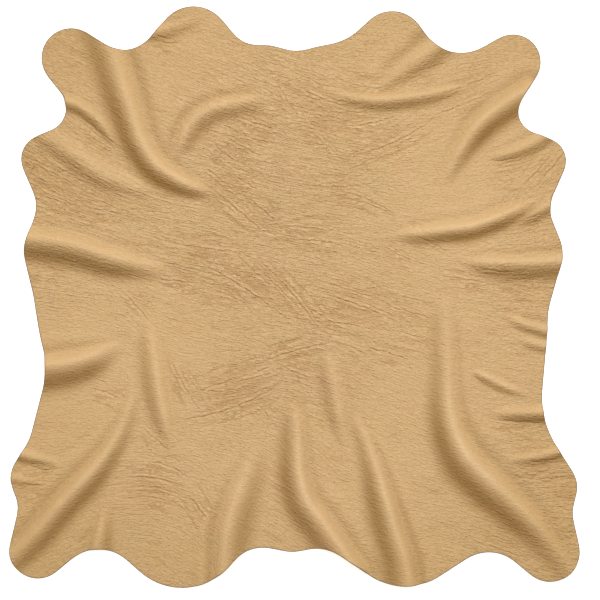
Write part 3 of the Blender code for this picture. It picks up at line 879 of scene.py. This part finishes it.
# %% The two faces in plan
inward = inward_of(edge)
rings = [edge + ring.inset * inward for ring in RIM]
crease_points = thinned(np.vstack(
    [rows_along(crease_line(crease, CREASE_STEP)[0], CREASE_ROWS) for crease in CREASES]
    + [crease_line(crease, CREASE_STEP)[0] for crease in (*lesser, *stray)]), CREASE_SPACING)
fold_points = thinned(np.vstack([
    rows_along(crest_line(fold, FOLD_STEP)[0],
               [row * (fold.right if row > 0 else fold.left) for row in FOLD_ROWS])
    for fold in FOLDS]), FOLD_STEP)
grain_wanted = ((crease_points, CREASE_SPACING), (hexagon_grid(GRAIN_STEP), GRAIN_STEP))
grain_plan, grain_faces = face_of(rings[0], grain_wanted)
flesh_wanted = ((fold_points, FOLD_STEP), (hexagon_grid(FLESH_STEP), FLESH_STEP))
flesh_plan, flesh_faces = face_of(rings[-1], flesh_wanted)
print("grain side", len(grain_faces), "triangles; flesh side", len(flesh_faces), "triangles")

# %% [markdown]
# ## Tones of the leather, and the closed mesh
# A crest is stretched and rubbed, so its grain is smoother, and it is painted paler as a highlight;
# the hollow beside it is painted darker and browner as shade; and the shanks, far from the back, are a
# little duller. Painting this by hand would never quite follow the folds. So each point notes how far
# it is on a crest, in a hollow or out towards the rim, how deep the wrinkles are and what the two
# rulers read there, for the finish to use. A skin also never lies dead flat, so the sheet swells
# loosely by about a millimetre, which shows as soft clouds of light.

# %% Tones of the folds and of the rim
FULL_FOLD = 9.0
RIM_START, RIM_END = 240.0, 430.0
# Where the tones lie across a fold, in its widths: stretch and painted highlight lean left of the
# crest, the painted shade lies right of it, and a fainter painted shade lies left of it, before the
# swell.
STRETCH_LEAN, STRETCH_LEFT, STRETCH_RIGHT = 0.1, 1.0, 0.6
SHADE_PLACE, SHADE_WIDTH = 0.62, 0.75
FAR_SHADE, FAR_PLACE, FAR_WIDTH = 0.33, 1.1, 0.7


def fold_tones(points):
    """How much each point is stretched over a crest, how much painted highlight it gets there, and how
    much painted shade it gets on the flank beside one."""
    stretch, crest, hollow = np.zeros((3, len(points)))
    for fold in FOLDS:
        near = in_reach(fold, points)
        height, share, along = abreast(fold, points[near])
        strength = np.clip(height / FULL_FOLD, 0, 1)
        side_width = np.where(share < 0, STRETCH_LEFT, STRETCH_RIGHT)
        stretched = strength * hill((share + STRETCH_LEAN) / side_width)
        stretch[near] = np.maximum(stretch[near], stretched)
        # The crest note is painted highlight: it makes the crest paler, and also shinier.
        crest[near] = np.maximum(crest[near], fold.sheen * stretched)
        # The hollow note is painted shade: darker and browner on the flank right of the crest, and
        # fainter in the dip left of it.
        flank = hill((share - SHADE_PLACE) / SHADE_WIDTH)
        flank = flank + FAR_SHADE * swell(fold, along) * hill((share + FAR_PLACE) / FAR_WIDTH)
        shade_strength = fold.shade * strength / np.sqrt(fold.start + (fold.end - fold.start) * along)
        hollow[near] = np.maximum(hollow[near], shade_strength * flank)
    return stretch, crest, hollow


def rim_tone(points):
    """How far out towards the shanks and the cheeks a point lies: 0 on the back, 1 at the tips."""
    out = (np.hypot(*points.T) - RIM_START) / (RIM_END - RIM_START)
    return np.clip(out, 0, 1)


# %% The slack of the sheet, and its points in space
SLACK, SLACK_SEED, SLACK_WAVES = 1.0, 4, 24
SLACK_HEADINGS, SLACK_LENGTHS, SLACK_SHIFT = (40, 130), (24.0, 70.0), 6.3


def slack(points):
    """The shallow swells of a skin that lies loosely: from 0 to about SLACK high."""
    dice = np.random.default_rng(SLACK_SEED)
    total = np.zeros(len(points))
    for _ in range(SLACK_WAVES):
        heading, length = dice.uniform(*SLACK_HEADINGS), dice.uniform(*SLACK_LENGTHS)
        shift = dice.uniform(0, SLACK_SHIFT)
        along = points @ np.array([math.cos(math.radians(heading)), math.sin(math.radians(heading))])
        total += np.sin(2 * math.pi * along / length + shift) * length
    total /= np.abs(total).max()
    return SLACK * (1 + total) / 2


def lifted(plan, share):
    """Points of the sheet over this plan, at this share of its thickness, in the solid's own frame."""
    surface = np.column_stack((plan - centre, sheet_height(plan) + slack(plan)))
    return (surface + share * THICKNESS * upward(plan)) * MM


def band(first, second):
    """Triangles between two rings of points, given by the numbers of their points."""
    after_first, after_second = np.roll(first, -1), np.roll(second, -1)
    return np.vstack((np.column_stack((first, after_first, after_second)),
                      np.column_stack((first, after_second, second))))


# %% The closed mesh
# The numbers of the zones are also the order of their finishes.
GRAIN, CUT, FLESH = 0, 1, 2
count = len(edge)
plans = [grain_plan] + rings[1:-1] + [flesh_plan]
heights = [1.0] + [ring.share for ring in RIM[1:-1]] + [0.0]
verts = np.vstack([lifted(plan, share) for plan, share in zip(plans, heights)])
starts = np.cumsum([0] + [len(plan) for plan in plans])
loops = [start + np.arange(count) for start in starts[:-1]]
rim_faces = np.vstack([band(upper, lower) for upper, lower in zip(loops, loops[1:])])
flesh_down = (np.array(flesh_faces) + starts[-2])[:, ::-1]
faces = np.vstack((grain_faces, rim_faces, flesh_down))
zones = np.repeat((GRAIN, CUT, FLESH), (len(grain_faces), len(rim_faces), len(flesh_down)))

# %% The mesh and its notes for the finish
skin = bpy.data.meshes.new("hide_skin")
skin.from_pydata(verts.tolist(), [], faces.tolist())
skin.shade_smooth()
plan = np.vstack(plans)
along, across = ruled(plan)
# Of these notes, crest marks painted highlight and hollow marks painted shade, for the finish.
stretch, crest, hollow = fold_tones(plan)
on_grain = np.arange(len(verts)) < len(grain_plan)
notes = {"along": along, "across": across, "wrinkling": lay_at(plan)[1], "stretch": stretch,
         "crest": crest, "hollow": hollow, "rim": rim_tone(plan)}
for name, values in notes.items():
    skin.attributes.new(name, "FLOAT", "POINT").data.foreach_set("value", values.astype(np.float32))
skin.attributes.new("grain", "BOOLEAN", "POINT").data.foreach_set("value", on_grain)
skin.attributes.new("zone", "INT", "FACE").data.foreach_set("value", zones.astype(np.int32))
hide = bpy.data.objects.new("hide_skin", skin)
bpy.context.scene.collection.objects.link(hide)
print("the sheet has", len(faces), "triangles")

# %% [markdown]
# ## Small helpers for node trees
# The finishes and the pressing are trees of small steps. Written out in full, each step would take
# four lines of wiring. These helpers take one line each: a node, a sum, or a group with named sockets.

# %% Helpers for node trees


def add(tree, kind, sockets=None, **settings):
    """A new node, with its settings, and its input sockets set to values or joined to other sockets."""
    node = tree.nodes.new(kind)
    for name, value in settings.items():
        setattr(node, name, value)
    for name, value in (sockets or {}).items():
        if isinstance(value, bpy.types.NodeSocket):
            tree.links.new(value, node.inputs[name])
        else:
            node.inputs[name].default_value = value
    return node


def maths(tree, operation, *values):
    """One sum on numbers or sockets, as a socket."""
    node = tree.nodes.new("ShaderNodeMath")
    node.operation = operation
    for socket, value in zip(node.inputs, values):
        if isinstance(value, bpy.types.NodeSocket):
            tree.links.new(value, socket)
        else:
            socket.default_value = value
    return node.outputs[0]


def vectors(tree, operation, first, second):
    """One sum on vectors, as a socket; to scale a vector, the second is a number."""
    other = "Scale" if operation == "SCALE" else 1
    return add(tree, "ShaderNodeVectorMath", {0: first, other: second}, operation=operation).outputs[0]


def combined(tree, x, y, z=0.0):
    """Three numbers or sockets as one vector, as a socket."""
    return add(tree, "ShaderNodeCombineXYZ", {"X": x, "Y": y, "Z": z}).outputs[0]


def ranged(tree, value, low_high, start_end, blend="LINEAR"):
    """A socket's value moved from one range to another, and held at its ends."""
    (low, high), (start, end) = low_high, start_end
    return add(tree, "ShaderNodeMapRange", {"Value": value, "From Min": low, "From Max": high,
                                            "To Min": start, "To Max": end},
               interpolation_type=blend).outputs[0]


def group(name, kind, inputs, outputs):
    """A node group with these named sockets; the inputs give each socket's type and usual value."""
    tree = bpy.data.node_groups.new(name, kind)
    for title, (socket_type, value) in inputs.items():
        socket = tree.interface.new_socket(title, in_out="INPUT", socket_type=socket_type)
        if value is not None:
            socket.default_value = value
    for title, socket_type in outputs.items():
        tree.interface.new_socket(title, in_out="OUTPUT", socket_type=socket_type)
    return tree, tree.nodes.new("NodeGroupInput").outputs, tree.nodes.new("NodeGroupOutput").inputs


FLOAT, VECTOR, COLOUR = "NodeSocketFloat", "NodeSocketVector", "NodeSocketColor"
GEOMETRY, OBJECT, MATERIAL = "NodeSocketGeometry", "NodeSocketObject", "NodeSocketMaterial"
# Noise lies about this mean in each of its three channels.
NOISE_MEAN = (0.5, 0.5, 0.5)

# %% [markdown]
# ## The section of a crease
# Cut across, a pressed crease has a narrow floor, a steep wall and a low rounded lip. It could be a
# plain V, but then the light would show two hard lines. Its section is a curve from the middle
# outwards, used twice: to move the mesh and to bump the finish, so that the two always agree.

# %% The section of a crease
CREASE_SECTION = ((0.0, 0.0), (0.18, 0.2), (0.42, 0.78), (0.62, 0.98), (1.0, 0.74))
LEVEL = CREASE_SECTION[-1][1]
FINE_HALF_WIDTH = 2.1


def crease_curve(tree, share):
    """The height of a crease's section at this share of its half width: a floor, a wall and a lip."""
    section = add(tree, "ShaderNodeFloatCurve", {"Value": share})
    curve = section.mapping.curves[0]
    curve.points[0].location, curve.points[1].location = CREASE_SECTION[0], CREASE_SECTION[-1]
    for point in CREASE_SECTION[1:-1]:
        curve.points.new(*point)
    section.mapping.update()
    return section.outputs[0]


lip = max(height for place, height in CREASE_SECTION) - LEVEL
print("the lip of a crease is", round(lip / LEVEL, 2), "of its depth")

# %% [markdown]
# ## Wrinkled grain
# Tanned grain is a fine pavement of pebbles, with longer pads between wrinkles that all lie one way
# in each part of the skin. Plain noise has no direction. So the noise is stretched into long ripples
# and laid by the skin's own rulers, and where a ripple passes through its mean there is a groove.
# The same group makes the pebbles and the pads.

# %% Ripples along the lay of the skin
# Grooves run where the ripples pass through their mean: the range of heights that counts as groove.
GROOVE_FLOOR, GROOVE_TOP = 0.012, 0.06
WAVE_SIZE = 24.0


def wrinkled_grain():
    """Ripples along the lay, and the grooves between them."""
    tree, given, result = group(
        "wrinkled grain", "ShaderNodeTree",
        {"Along": (FLOAT, 0.0), "Across": (FLOAT, 0.0), "Swing": (FLOAT, 0.0), "Spacing": (FLOAT, 4.0),
         "Length": (FLOAT, 12.0), "Waviness": (FLOAT, 4.0), "Detail": (FLOAT, 2.0)},
        {"Ripple": FLOAT, "Pillow": FLOAT, "Groove": FLOAT})
    place = combined(tree, given["Along"], given["Across"])
    wave = add(tree, "ShaderNodeTexNoise", {"Vector": place, "Scale": 1 / WAVE_SIZE, "Detail": 2.0},
               noise_dimensions="2D")
    bend = vectors(tree, "SUBTRACT", wave.outputs["Color"], NOISE_MEAN)
    place = vectors(tree, "ADD", place, vectors(tree, "SCALE", bend, given["Waviness"]))
    radians = maths(tree, "RADIANS", given["Swing"])
    turned = add(tree, "ShaderNodeVectorRotate", {"Vector": place, "Angle": radians},
                 rotation_type="Z_AXIS", invert=True).outputs[0]
    share = vectors(tree, "DIVIDE", turned, combined(tree, given["Length"], given["Spacing"], 1.0))
    ripples = add(tree, "ShaderNodeTexNoise",
                  {"Vector": share, "Scale": 1.0, "Detail": given["Detail"], "Roughness": 0.55},
                  noise_dimensions="2D")
    ripple = maths(tree, "SUBTRACT", ripples.outputs["Fac"], 0.5)
    pillow = maths(tree, "SQRT", maths(tree, "MULTIPLY_ADD", ripple, ripple, GROOVE_FLOOR**2))
    tree.links.new(ripple, result["Ripple"])
    tree.links.new(pillow, result["Pillow"])
    groove = ranged(tree, pillow, (GROOVE_FLOOR, GROOVE_TOP), (1.0, 0.0), "SMOOTHSTEP")
    tree.links.new(groove, result["Groove"])
    return tree


# %% [markdown]
# ## Cloudy colour
# Dye never takes evenly on a skin: it is a touch pinker, greener, lighter or darker from one patch to
# the next. A picture could carry that, but clouds of noise do it at any size, and the grain, the cut
# edge and the flesh side can all share them, each with clouds of its own size and strength.

# %% Cloudy colour


def mottling():
    """Soft clouds of lighter, darker, pinker and greener leather, as a colour to multiply by."""
    tree, given, result = group(
        "mottling", "ShaderNodeTree",
        {"Place": (VECTOR, None), "Cloud": (FLOAT, 45.0), "Depth": (FLOAT, 0.5)}, {"Tint": COLOUR})
    scale = maths(tree, "DIVIDE", 1.0, given["Cloud"])
    clouds = add(tree, "ShaderNodeTexNoise",
                 {"Vector": given["Place"], "Scale": scale, "Detail": 3.0, "Roughness": 0.6})
    tint = vectors(tree, "SUBTRACT", clouds.outputs["Color"], NOISE_MEAN)
    tint = vectors(tree, "ADD", vectors(tree, "SCALE", tint, given["Depth"]), (1, 1, 1))
    tree.links.new(tint, result["Tint"])
    return tree


grain_group = wrinkled_grain()
mottling_group = mottling()
for made in (grain_group, mottling_group):
    print("the group of", made.name, "has", len(made.nodes), "nodes")

# %% [markdown]
# ## The grain side
# The outside of the skin is dyed tan, matt to satin. Each of its tones could be a layer painted by
# hand, but the noted crests, hollows and rim already say where they belong. So the finish only mixes
# five tans by them: plain tan, a paler one painted as highlight on crests, lips and pebble tops, a
# browner one painted as shade in hollows, a duller one at the rim and a dark one painted as shade in
# the grooves and at the bottom of a crease. The fine grain is bump, because its pebbles are too small
# for a mesh.

# %% The grain side's colours and relief
# Plain tan, a paler tan painted as highlight, a browner tan painted as shade in the folds' hollows, a
# duller tan towards the rim, and a dark tan painted as shade in grooves and crease floors.
TAN = (0.582, 0.397, 0.194)
HIGHLIGHT_TAN = (0.652, 0.457, 0.244)
SHADE_TAN = (0.3, 0.168, 0.046)
RIM_TAN = (0.54, 0.364, 0.166)
GROOVE_SHADE_TAN = (0.33, 0.15, 0.022)

# How high each part of the grain stands in the relief, as parts of RELIEF.
RELIEF = 0.5 * MM
PEBBLE_RIPPLE, PEBBLE_PILLOW, PAD, CROSS_PAD = 2.8, 2.3, 2.0, 0.6
PORE, TROUGH, WRINKLE_TROUGH = 0.9, 1.2, 0.4
# How far each colour goes at its strongest: painted shade, dark in the grooves and crease floors, and
# painted highlight, pale on the pebble tops. On a lip the painted highlight goes this many times as far
# as the lip is high.
PEBBLE_DARK, WRINKLE_DARK, CREASE_DARK = 0.16, 0.22, 0.6
PEBBLE_HIGHLIGHT, LIP_HIGHLIGHT = 0.9, 4.5
# How much of the grain is lost where the skin is fully stretched, and where a fold's painted shade is
# full.
CREST_SMOOTHS, HOLLOW_SMOOTHS = 0.65, 0.3
# The depth of the wrinkling counts to these powers: one under 1 evens the places out, and one over
# 1 sets them apart.
PEBBLE_EVENS, PAD_EVENS = 0.6, 1.6
# So does the depth of a crease: a power under 1 brings the shallow ones out.
PRESS_SHOWS = 0.8
# This share of the pressed creases is lost in a full hollow, where they lie in the fold's shade.
HOLLOW_HIDES = 0.6
PORE_SIZE, PATCH_SIZE = 1.6, 40.0
# Pads show fully in some patches and less in others: the range of the noise, and how much they show.
PATCH_RANGE, PATCH_SHOWS = (0.35, 0.65), (0.65, 1.0)
# The ripples that count as a pebble's pale top, and the share of a crease that is its dark floor.
TOP_RANGE, FLOOR_RANGE = (-0.02, 0.14), (0.0, 0.5)
# How rough the plain leather and a full crest are, and how much both shine.
ROUGH_TO_SHINY, SHINE = (0.6, 0.48), 0.4
# How wide and how strong the clouds of colour are.
GRAIN_CLOUD, GRAIN_CLOUD_DEPTH = 38.0, 0.06

# Ripples in the grain: their swing from the skin's lie in degrees, then sizes in millimetres.
Layer = namedtuple("Layer", "name swing spacing length waviness detail")
LAYERS = (
    Layer("pebbles", 0.0, 2.1, 5.6, 1.6, 2.0),
    Layer("pads", -3.0, 4.2, 60.0, 4.5, 1.0),
    Layer("cross pads", 24.0, 5.6, 50.0, 4.5, 1.0),
)

# %% Helpers for finishes


def start_material(name):
    """A material's tree, its shader, and places on the piece in millimetres."""
    material = bpy.data.materials.new(name)
    material.use_nodes = True
    tree = material.node_tree
    place = add(tree, "ShaderNodeTexCoord").outputs["Object"]
    return material, tree, tree.nodes["Principled BSDF"], vectors(tree, "SCALE", place, 1 / MM)


def blended(tree, share, first, second, blend="MIX"):
    """Two colours mixed by a share, as a socket."""
    node = tree.nodes.new("ShaderNodeMix")
    node.data_type = "RGBA"
    node.blend_type = blend
    # On a mix of colours, the share is socket 0, the colours are 6 and 7, and the result is 2.
    for index, value in ((0, share), (6, first), (7, second)):
        if isinstance(value, bpy.types.NodeSocket):
            tree.links.new(value, node.inputs[index])
        elif isinstance(value, tuple):
            node.inputs[index].default_value = (*value, 1)
        else:
            node.inputs[index].default_value = value
    return node.outputs[2]


def clouded(tree, place, colour, cloud, depth):
    """A colour under soft clouds this many millimetres wide and this strong."""
    tint = add(tree, "ShaderNodeGroup", {"Place": place, "Cloud": cloud, "Depth": depth},
               node_tree=mottling_group)
    return blended(tree, 1.0, colour, tint.outputs[0], "MULTIPLY")


# %% The parts of the grain side's finish


def grain_layers(tree, noted, place):
    """The pebbles' sockets, and the pads and wrinkles that the two layers of pads make together."""
    layers = {}
    for layer in LAYERS:
        node = add(tree, "ShaderNodeGroup", {"Along": noted["along"], "Across": noted["across"]},
                   node_tree=grain_group)
        for socket, value in zip(("Swing", "Spacing", "Length", "Waviness", "Detail"), layer[1:]):
            node.inputs[socket].default_value = value
        layers[layer.name] = node.outputs
    patches = add(tree, "ShaderNodeTexNoise", {"Vector": place, "Scale": 1 / PATCH_SIZE, "Detail": 1.0})
    patch = add(tree, "ShaderNodeSeparateColor", {0: patches.outputs["Color"]}).outputs
    shown, cross_shown = (ranged(tree, patch[channel], PATCH_RANGE, PATCH_SHOWS)
                          for channel in ("Red", "Green"))
    pads = maths(tree, "MULTIPLY", layers["pads"]["Pillow"], shown)
    cross = maths(tree, "MULTIPLY", layers["cross pads"]["Pillow"], cross_shown)
    pads = maths(tree, "MULTIPLY_ADD", cross, CROSS_PAD, pads)
    lengthwise = maths(tree, "MULTIPLY", layers["pads"]["Groove"], shown)
    crossed = maths(tree, "MULTIPLY", layers["cross pads"]["Groove"], cross_shown)
    crossed = maths(tree, "MULTIPLY", crossed, CROSS_PAD)
    return layers["pebbles"], pads, maths(tree, "MAXIMUM", lengthwise, crossed)


def pressed_lines(tree, noted):
    """The troughs of the pressed creases, below 0 with lips above it, and how far their floors get
    painted shade.
    """
    share = maths(tree, "MINIMUM", maths(tree, "DIVIDE", noted["aside"], FINE_HALF_WIDTH), 1.0)
    strength = maths(tree, "POWER", noted["press"], PRESS_SHOWS)
    hidden = maths(tree, "MULTIPLY", noted["hollow"], HOLLOW_HIDES)
    strength = maths(tree, "MULTIPLY", strength, maths(tree, "SUBTRACT", 1.0, hidden))
    section = maths(tree, "SUBTRACT", crease_curve(tree, share), LEVEL)
    floor = ranged(tree, share, FLOOR_RANGE, (1.0, 0.0), "SMOOTHSTEP")
    return maths(tree, "MULTIPLY", section, strength), maths(tree, "MULTIPLY", floor, strength)


def roughened(tree, noted):
    """How strong the fine and the coarse grain are: less where the skin is stretched or painted in
    shade.
    """
    rough = maths(tree, "MULTIPLY_ADD", noted["stretch"], -CREST_SMOOTHS, 1.0)
    rough = maths(tree, "MULTIPLY_ADD", noted["hollow"], -HOLLOW_SMOOTHS, rough)
    return (maths(tree, "MULTIPLY", maths(tree, "POWER", noted["wrinkling"], evens), rough)
            for evens in (PEBBLE_EVENS, PAD_EVENS))


# %% The grain side's finish


def grain_side():
    """The dyed outside: its grain as bump, and its colour mixed from five tans, painted highlight and
    painted shade among them.
    """
    material, tree, shader, place = start_material("grain side")
    noted = {name: add(tree, "ShaderNodeAttribute", attribute_name=name).outputs["Fac"]
             for name in (*notes, "aside", "press")}
    pebbles, pads, wrinkles = grain_layers(tree, noted, place)
    trough, floor = pressed_lines(tree, noted)
    fine, coarse = roughened(tree, noted)

    pores = add(tree, "ShaderNodeTexNoise", {"Vector": place, "Scale": 1 / PORE_SIZE, "Detail": 1.0})
    small = maths(tree, "MULTIPLY", pebbles["Ripple"], PEBBLE_RIPPLE)
    small = maths(tree, "MULTIPLY_ADD", pebbles["Pillow"], PEBBLE_PILLOW, small)
    large = maths(tree, "MULTIPLY", pads, PAD)
    large = maths(tree, "MULTIPLY_ADD", wrinkles, -WRINKLE_TROUGH, large)
    height = maths(tree, "MULTIPLY_ADD", small, fine, maths(tree, "MULTIPLY", large, coarse))
    height = maths(tree, "MULTIPLY_ADD", pores.outputs["Fac"], PORE, height)
    height = maths(tree, "MULTIPLY_ADD", trough, TROUGH, height)
    bump = add(tree, "ShaderNodeBump", {"Height": height, "Distance": RELIEF})
    tree.links.new(bump.outputs[0], shader.inputs["Normal"])

    # The pebble tops and the crease lips get painted highlight, paler, as if lit.
    top = maths(tree, "MULTIPLY", ranged(tree, pebbles["Ripple"], TOP_RANGE, (0.0, 1.0)), fine)
    pale = maths(tree, "MAXIMUM", maths(tree, "MULTIPLY", top, PEBBLE_HIGHLIGHT),
                 maths(tree, "MULTIPLY", trough, LIP_HIGHLIGHT))
    # The grooves, the wrinkle lines and the crease floors get painted shade, darker and browner.
    dark = maths(tree, "MULTIPLY", maths(tree, "MULTIPLY", pebbles["Groove"], fine), PEBBLE_DARK)
    lines = maths(tree, "MULTIPLY", maths(tree, "MULTIPLY", wrinkles, coarse), WRINKLE_DARK)
    dark = maths(tree, "MAXIMUM", dark, lines)
    dark = maths(tree, "MAXIMUM", dark, maths(tree, "MULTIPLY", floor, CREASE_DARK))
    # Paler tan for painted highlight on pebble tops, lips and crests; browner and dark tans for painted
    # shade in hollows and grooves.
    colour = TAN
    for share, tone in ((pale, HIGHLIGHT_TAN), (noted["crest"], HIGHLIGHT_TAN), (noted["rim"], RIM_TAN),
                        (noted["hollow"], SHADE_TAN), (dark, GROOVE_SHADE_TAN)):
        colour = blended(tree, share, colour, tone)
    colour = clouded(tree, place, colour, GRAIN_CLOUD, GRAIN_CLOUD_DEPTH)
    tree.links.new(colour, shader.inputs["Base Color"])
    tree.links.new(ranged(tree, noted["crest"], (0.0, 1.0), ROUGH_TO_SHINY), shader.inputs["Roughness"])
    shader.inputs["Specular IOR Level"].default_value = SHINE
    return material


# %% [markdown]
# ## The cut edge and the flesh side
# A knife leaves the thickness of the leather bare: undyed fibres, greyer and duller than the grain.
# The underside is shaved flesh, pale and fuzzy like suede. Both could share the grain's finish, but
# neither has any grain or dye. They are plain and rough, and only their clouds of colour show.

# %% The other two finishes
Plain = namedtuple("Plain", "name colour cloud depth roughness")
PLAIN_FINISHES = {
    "Cut Edge": Plain("cut edge", (0.23, 0.17, 0.11), 6.0, 0.8, 0.85),
    "Flesh Side": Plain("flesh side", (0.50, 0.38, 0.25), 22.0, 0.6, 0.95),
}


def plain_finish(name, colour, cloud, depth, roughness):
    """A rough finish of one clouded colour."""
    material, tree, shader, place = start_material(name)
    tree.links.new(clouded(tree, place, colour, cloud, depth), shader.inputs["Base Color"])
    shader.inputs["Roughness"].default_value = roughness
    return material


finishes = {"Grain Side": grain_side()}
for title, plain in PLAIN_FINISHES.items():
    finishes[title] = plain_finish(*plain)
print("finishes:", list(finishes))

# %% [markdown]
# ## Pressing the creases
# Creases are pressed into a finished skin by its own weight in the stack. Each could be cut into the
# mesh by hand, but a tree of nodes can press any set of lines into any sheet. It finds how far each
# point of the grain side is from the nearest line, moves it by the crease's section, notes the
# distance for the finish, and gives the grain, the cut edge and the flesh side their finishes.

# %% The crease tree


def crease_lines():
    """The creases as one object of plain edges in plan, each point with how deep it is pressed."""
    points, edges, depths = [], [], []
    for crease in (*CREASES, *lesser, *stray):
        line, deep = crease_line(crease, CREASE_STEP)
        first = len(points)
        points += list(line)
        edges += [(first + index, first + index + 1) for index in range(len(line) - 1)]
        depths += list(deep)
    plan = np.array(points)
    pressed = np.array(depths) * (1 - fold_tones(plan)[0])
    mesh = bpy.data.meshes.new("crease lines")
    mesh.from_pydata([(x * MM, y * MM, 0) for x, y in plan - centre], edges, [])
    press = mesh.attributes.new("press", "FLOAT", "POINT")
    press.data.foreach_set("value", (pressed * MM).astype(np.float32))
    lines = bpy.data.objects.new("crease lines", mesh)
    bpy.context.scene.collection.objects.link(lines)
    lines.hide_render = True
    return lines


def named(tree, name, kind):
    """What the mesh notes under this name, as a socket."""
    return add(tree, "GeometryNodeInputNamedAttribute", {"Name": name}, data_type=kind).outputs[0]


def pressed_creases():
    """Presses a trough with two soft lips into the grain side, then gives each part its finish."""
    tree, given, result = group(
        "pressed creases", "GeometryNodeTree",
        {"Sheet": (GEOMETRY, None), "Creases": (OBJECT, None), "Half Width": (FLOAT, 0.002),
         **{name: (MATERIAL, None) for name in finishes}},
        {"Sheet": GEOMETRY})
    lines = add(tree, "GeometryNodeObjectInfo", {"Object": given["Creases"]}).outputs["Geometry"]
    position = add(tree, "GeometryNodeInputPosition").outputs[0]
    here = add(tree, "ShaderNodeSeparateXYZ", {0: position}).outputs
    plan = combined(tree, here["X"], here["Y"])
    near = add(tree, "GeometryNodeProximity", {"Target": lines, "Source Position": plan},
               target_element="EDGES")
    nearest = add(tree, "GeometryNodeSampleNearest", {"Geometry": lines, "Sample Position": plan})
    nearest = nearest.outputs[0]
    depth = add(tree, "GeometryNodeSampleIndex",
                {"Geometry": lines, "Value": named(tree, "press", "FLOAT"), "Index": nearest},
                data_type="FLOAT", domain="POINT").outputs[0]
    share = maths(tree, "DIVIDE", near.outputs["Distance"], given["Half Width"])
    share = maths(tree, "MINIMUM", share, 1.0)
    rise = maths(tree, "MULTIPLY", maths(tree, "SUBTRACT", crease_curve(tree, share), LEVEL), depth)
    shift = vectors(tree, "SCALE", add(tree, "GeometryNodeInputNormal").outputs[0], rise)
    on_grain = named(tree, "grain", "BOOLEAN")
    sheet = add(tree, "GeometryNodeSetPosition",
                {"Geometry": given["Sheet"], "Selection": on_grain, "Offset": shift}).outputs[0]
    distance = maths(tree, "MULTIPLY", near.outputs["Distance"], 1 / MM)
    for name, value in (("aside", distance), ("press", maths(tree, "MULTIPLY", depth, 1 / MM))):
        sheet = add(tree, "GeometryNodeStoreNamedAttribute",
                    {"Geometry": sheet, "Selection": on_grain, "Name": name, "Value": value},
                    data_type="FLOAT", domain="POINT").outputs[0]
    sheet = add(tree, "GeometryNodeRealizeInstances", {"Geometry": sheet}).outputs[0]
    zone = named(tree, "zone", "INT")
    for number, name in enumerate(finishes):
        chosen = add(tree, "FunctionNodeCompare", {2: zone, 3: number}, data_type="INT",
                     operation="EQUAL").outputs[0]
        sheet = add(tree, "GeometryNodeSetMaterial",
                    {"Geometry": sheet, "Selection": chosen, "Material": given[name]}).outputs[0]
    tree.links.new(sheet, result["Sheet"])
    return tree


# %% Press them and keep the result as a plain mesh
skin.materials.append(finishes["Grain Side"])
press = hide.modifiers.new("pressed creases", "NODES")
press.node_group = pressed_creases()
values = {"Creases": crease_lines(), "Half Width": CREASE_HALF_WIDTH * MM, **finishes}
for socket in press.node_group.interface.items_tree:
    if socket.in_out == "INPUT" and socket.name in values:
        press[socket.identifier] = values[socket.name]
bpy.context.view_layer.update()
pressed = bpy.data.meshes.new_from_object(hide.evaluated_get(bpy.context.evaluated_depsgraph_get()))
hide.modifiers.clear()
hide.data = pressed
bpy.data.objects.remove(values["Creases"])
print("the pressed sheet has", len(pressed.polygons), "faces and", len(pressed.materials), "finishes")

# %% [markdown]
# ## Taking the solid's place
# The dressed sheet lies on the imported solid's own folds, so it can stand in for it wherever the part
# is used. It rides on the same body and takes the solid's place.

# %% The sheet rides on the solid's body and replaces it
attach(hide, "root")
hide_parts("hide")

# %% How near the sheet keeps to the solid
# One point in this many is measured.
EVERY = 7
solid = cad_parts["hide"].data
corners = [vert.co for vert in solid.vertices]
tree = BVHTree.FromPolygons(corners, [face.vertices for face in solid.polygons])
apart = [tree.find_nearest(vert.co)[3] for vert in list(pressed.vertices)[::EVERY]]
mean_mm, most_mm = round(np.mean(apart) / MM, 2), round(max(apart) / MM, 2)
print("from the solid: mean", mean_mm, "mm, most", most_mm, "mm")
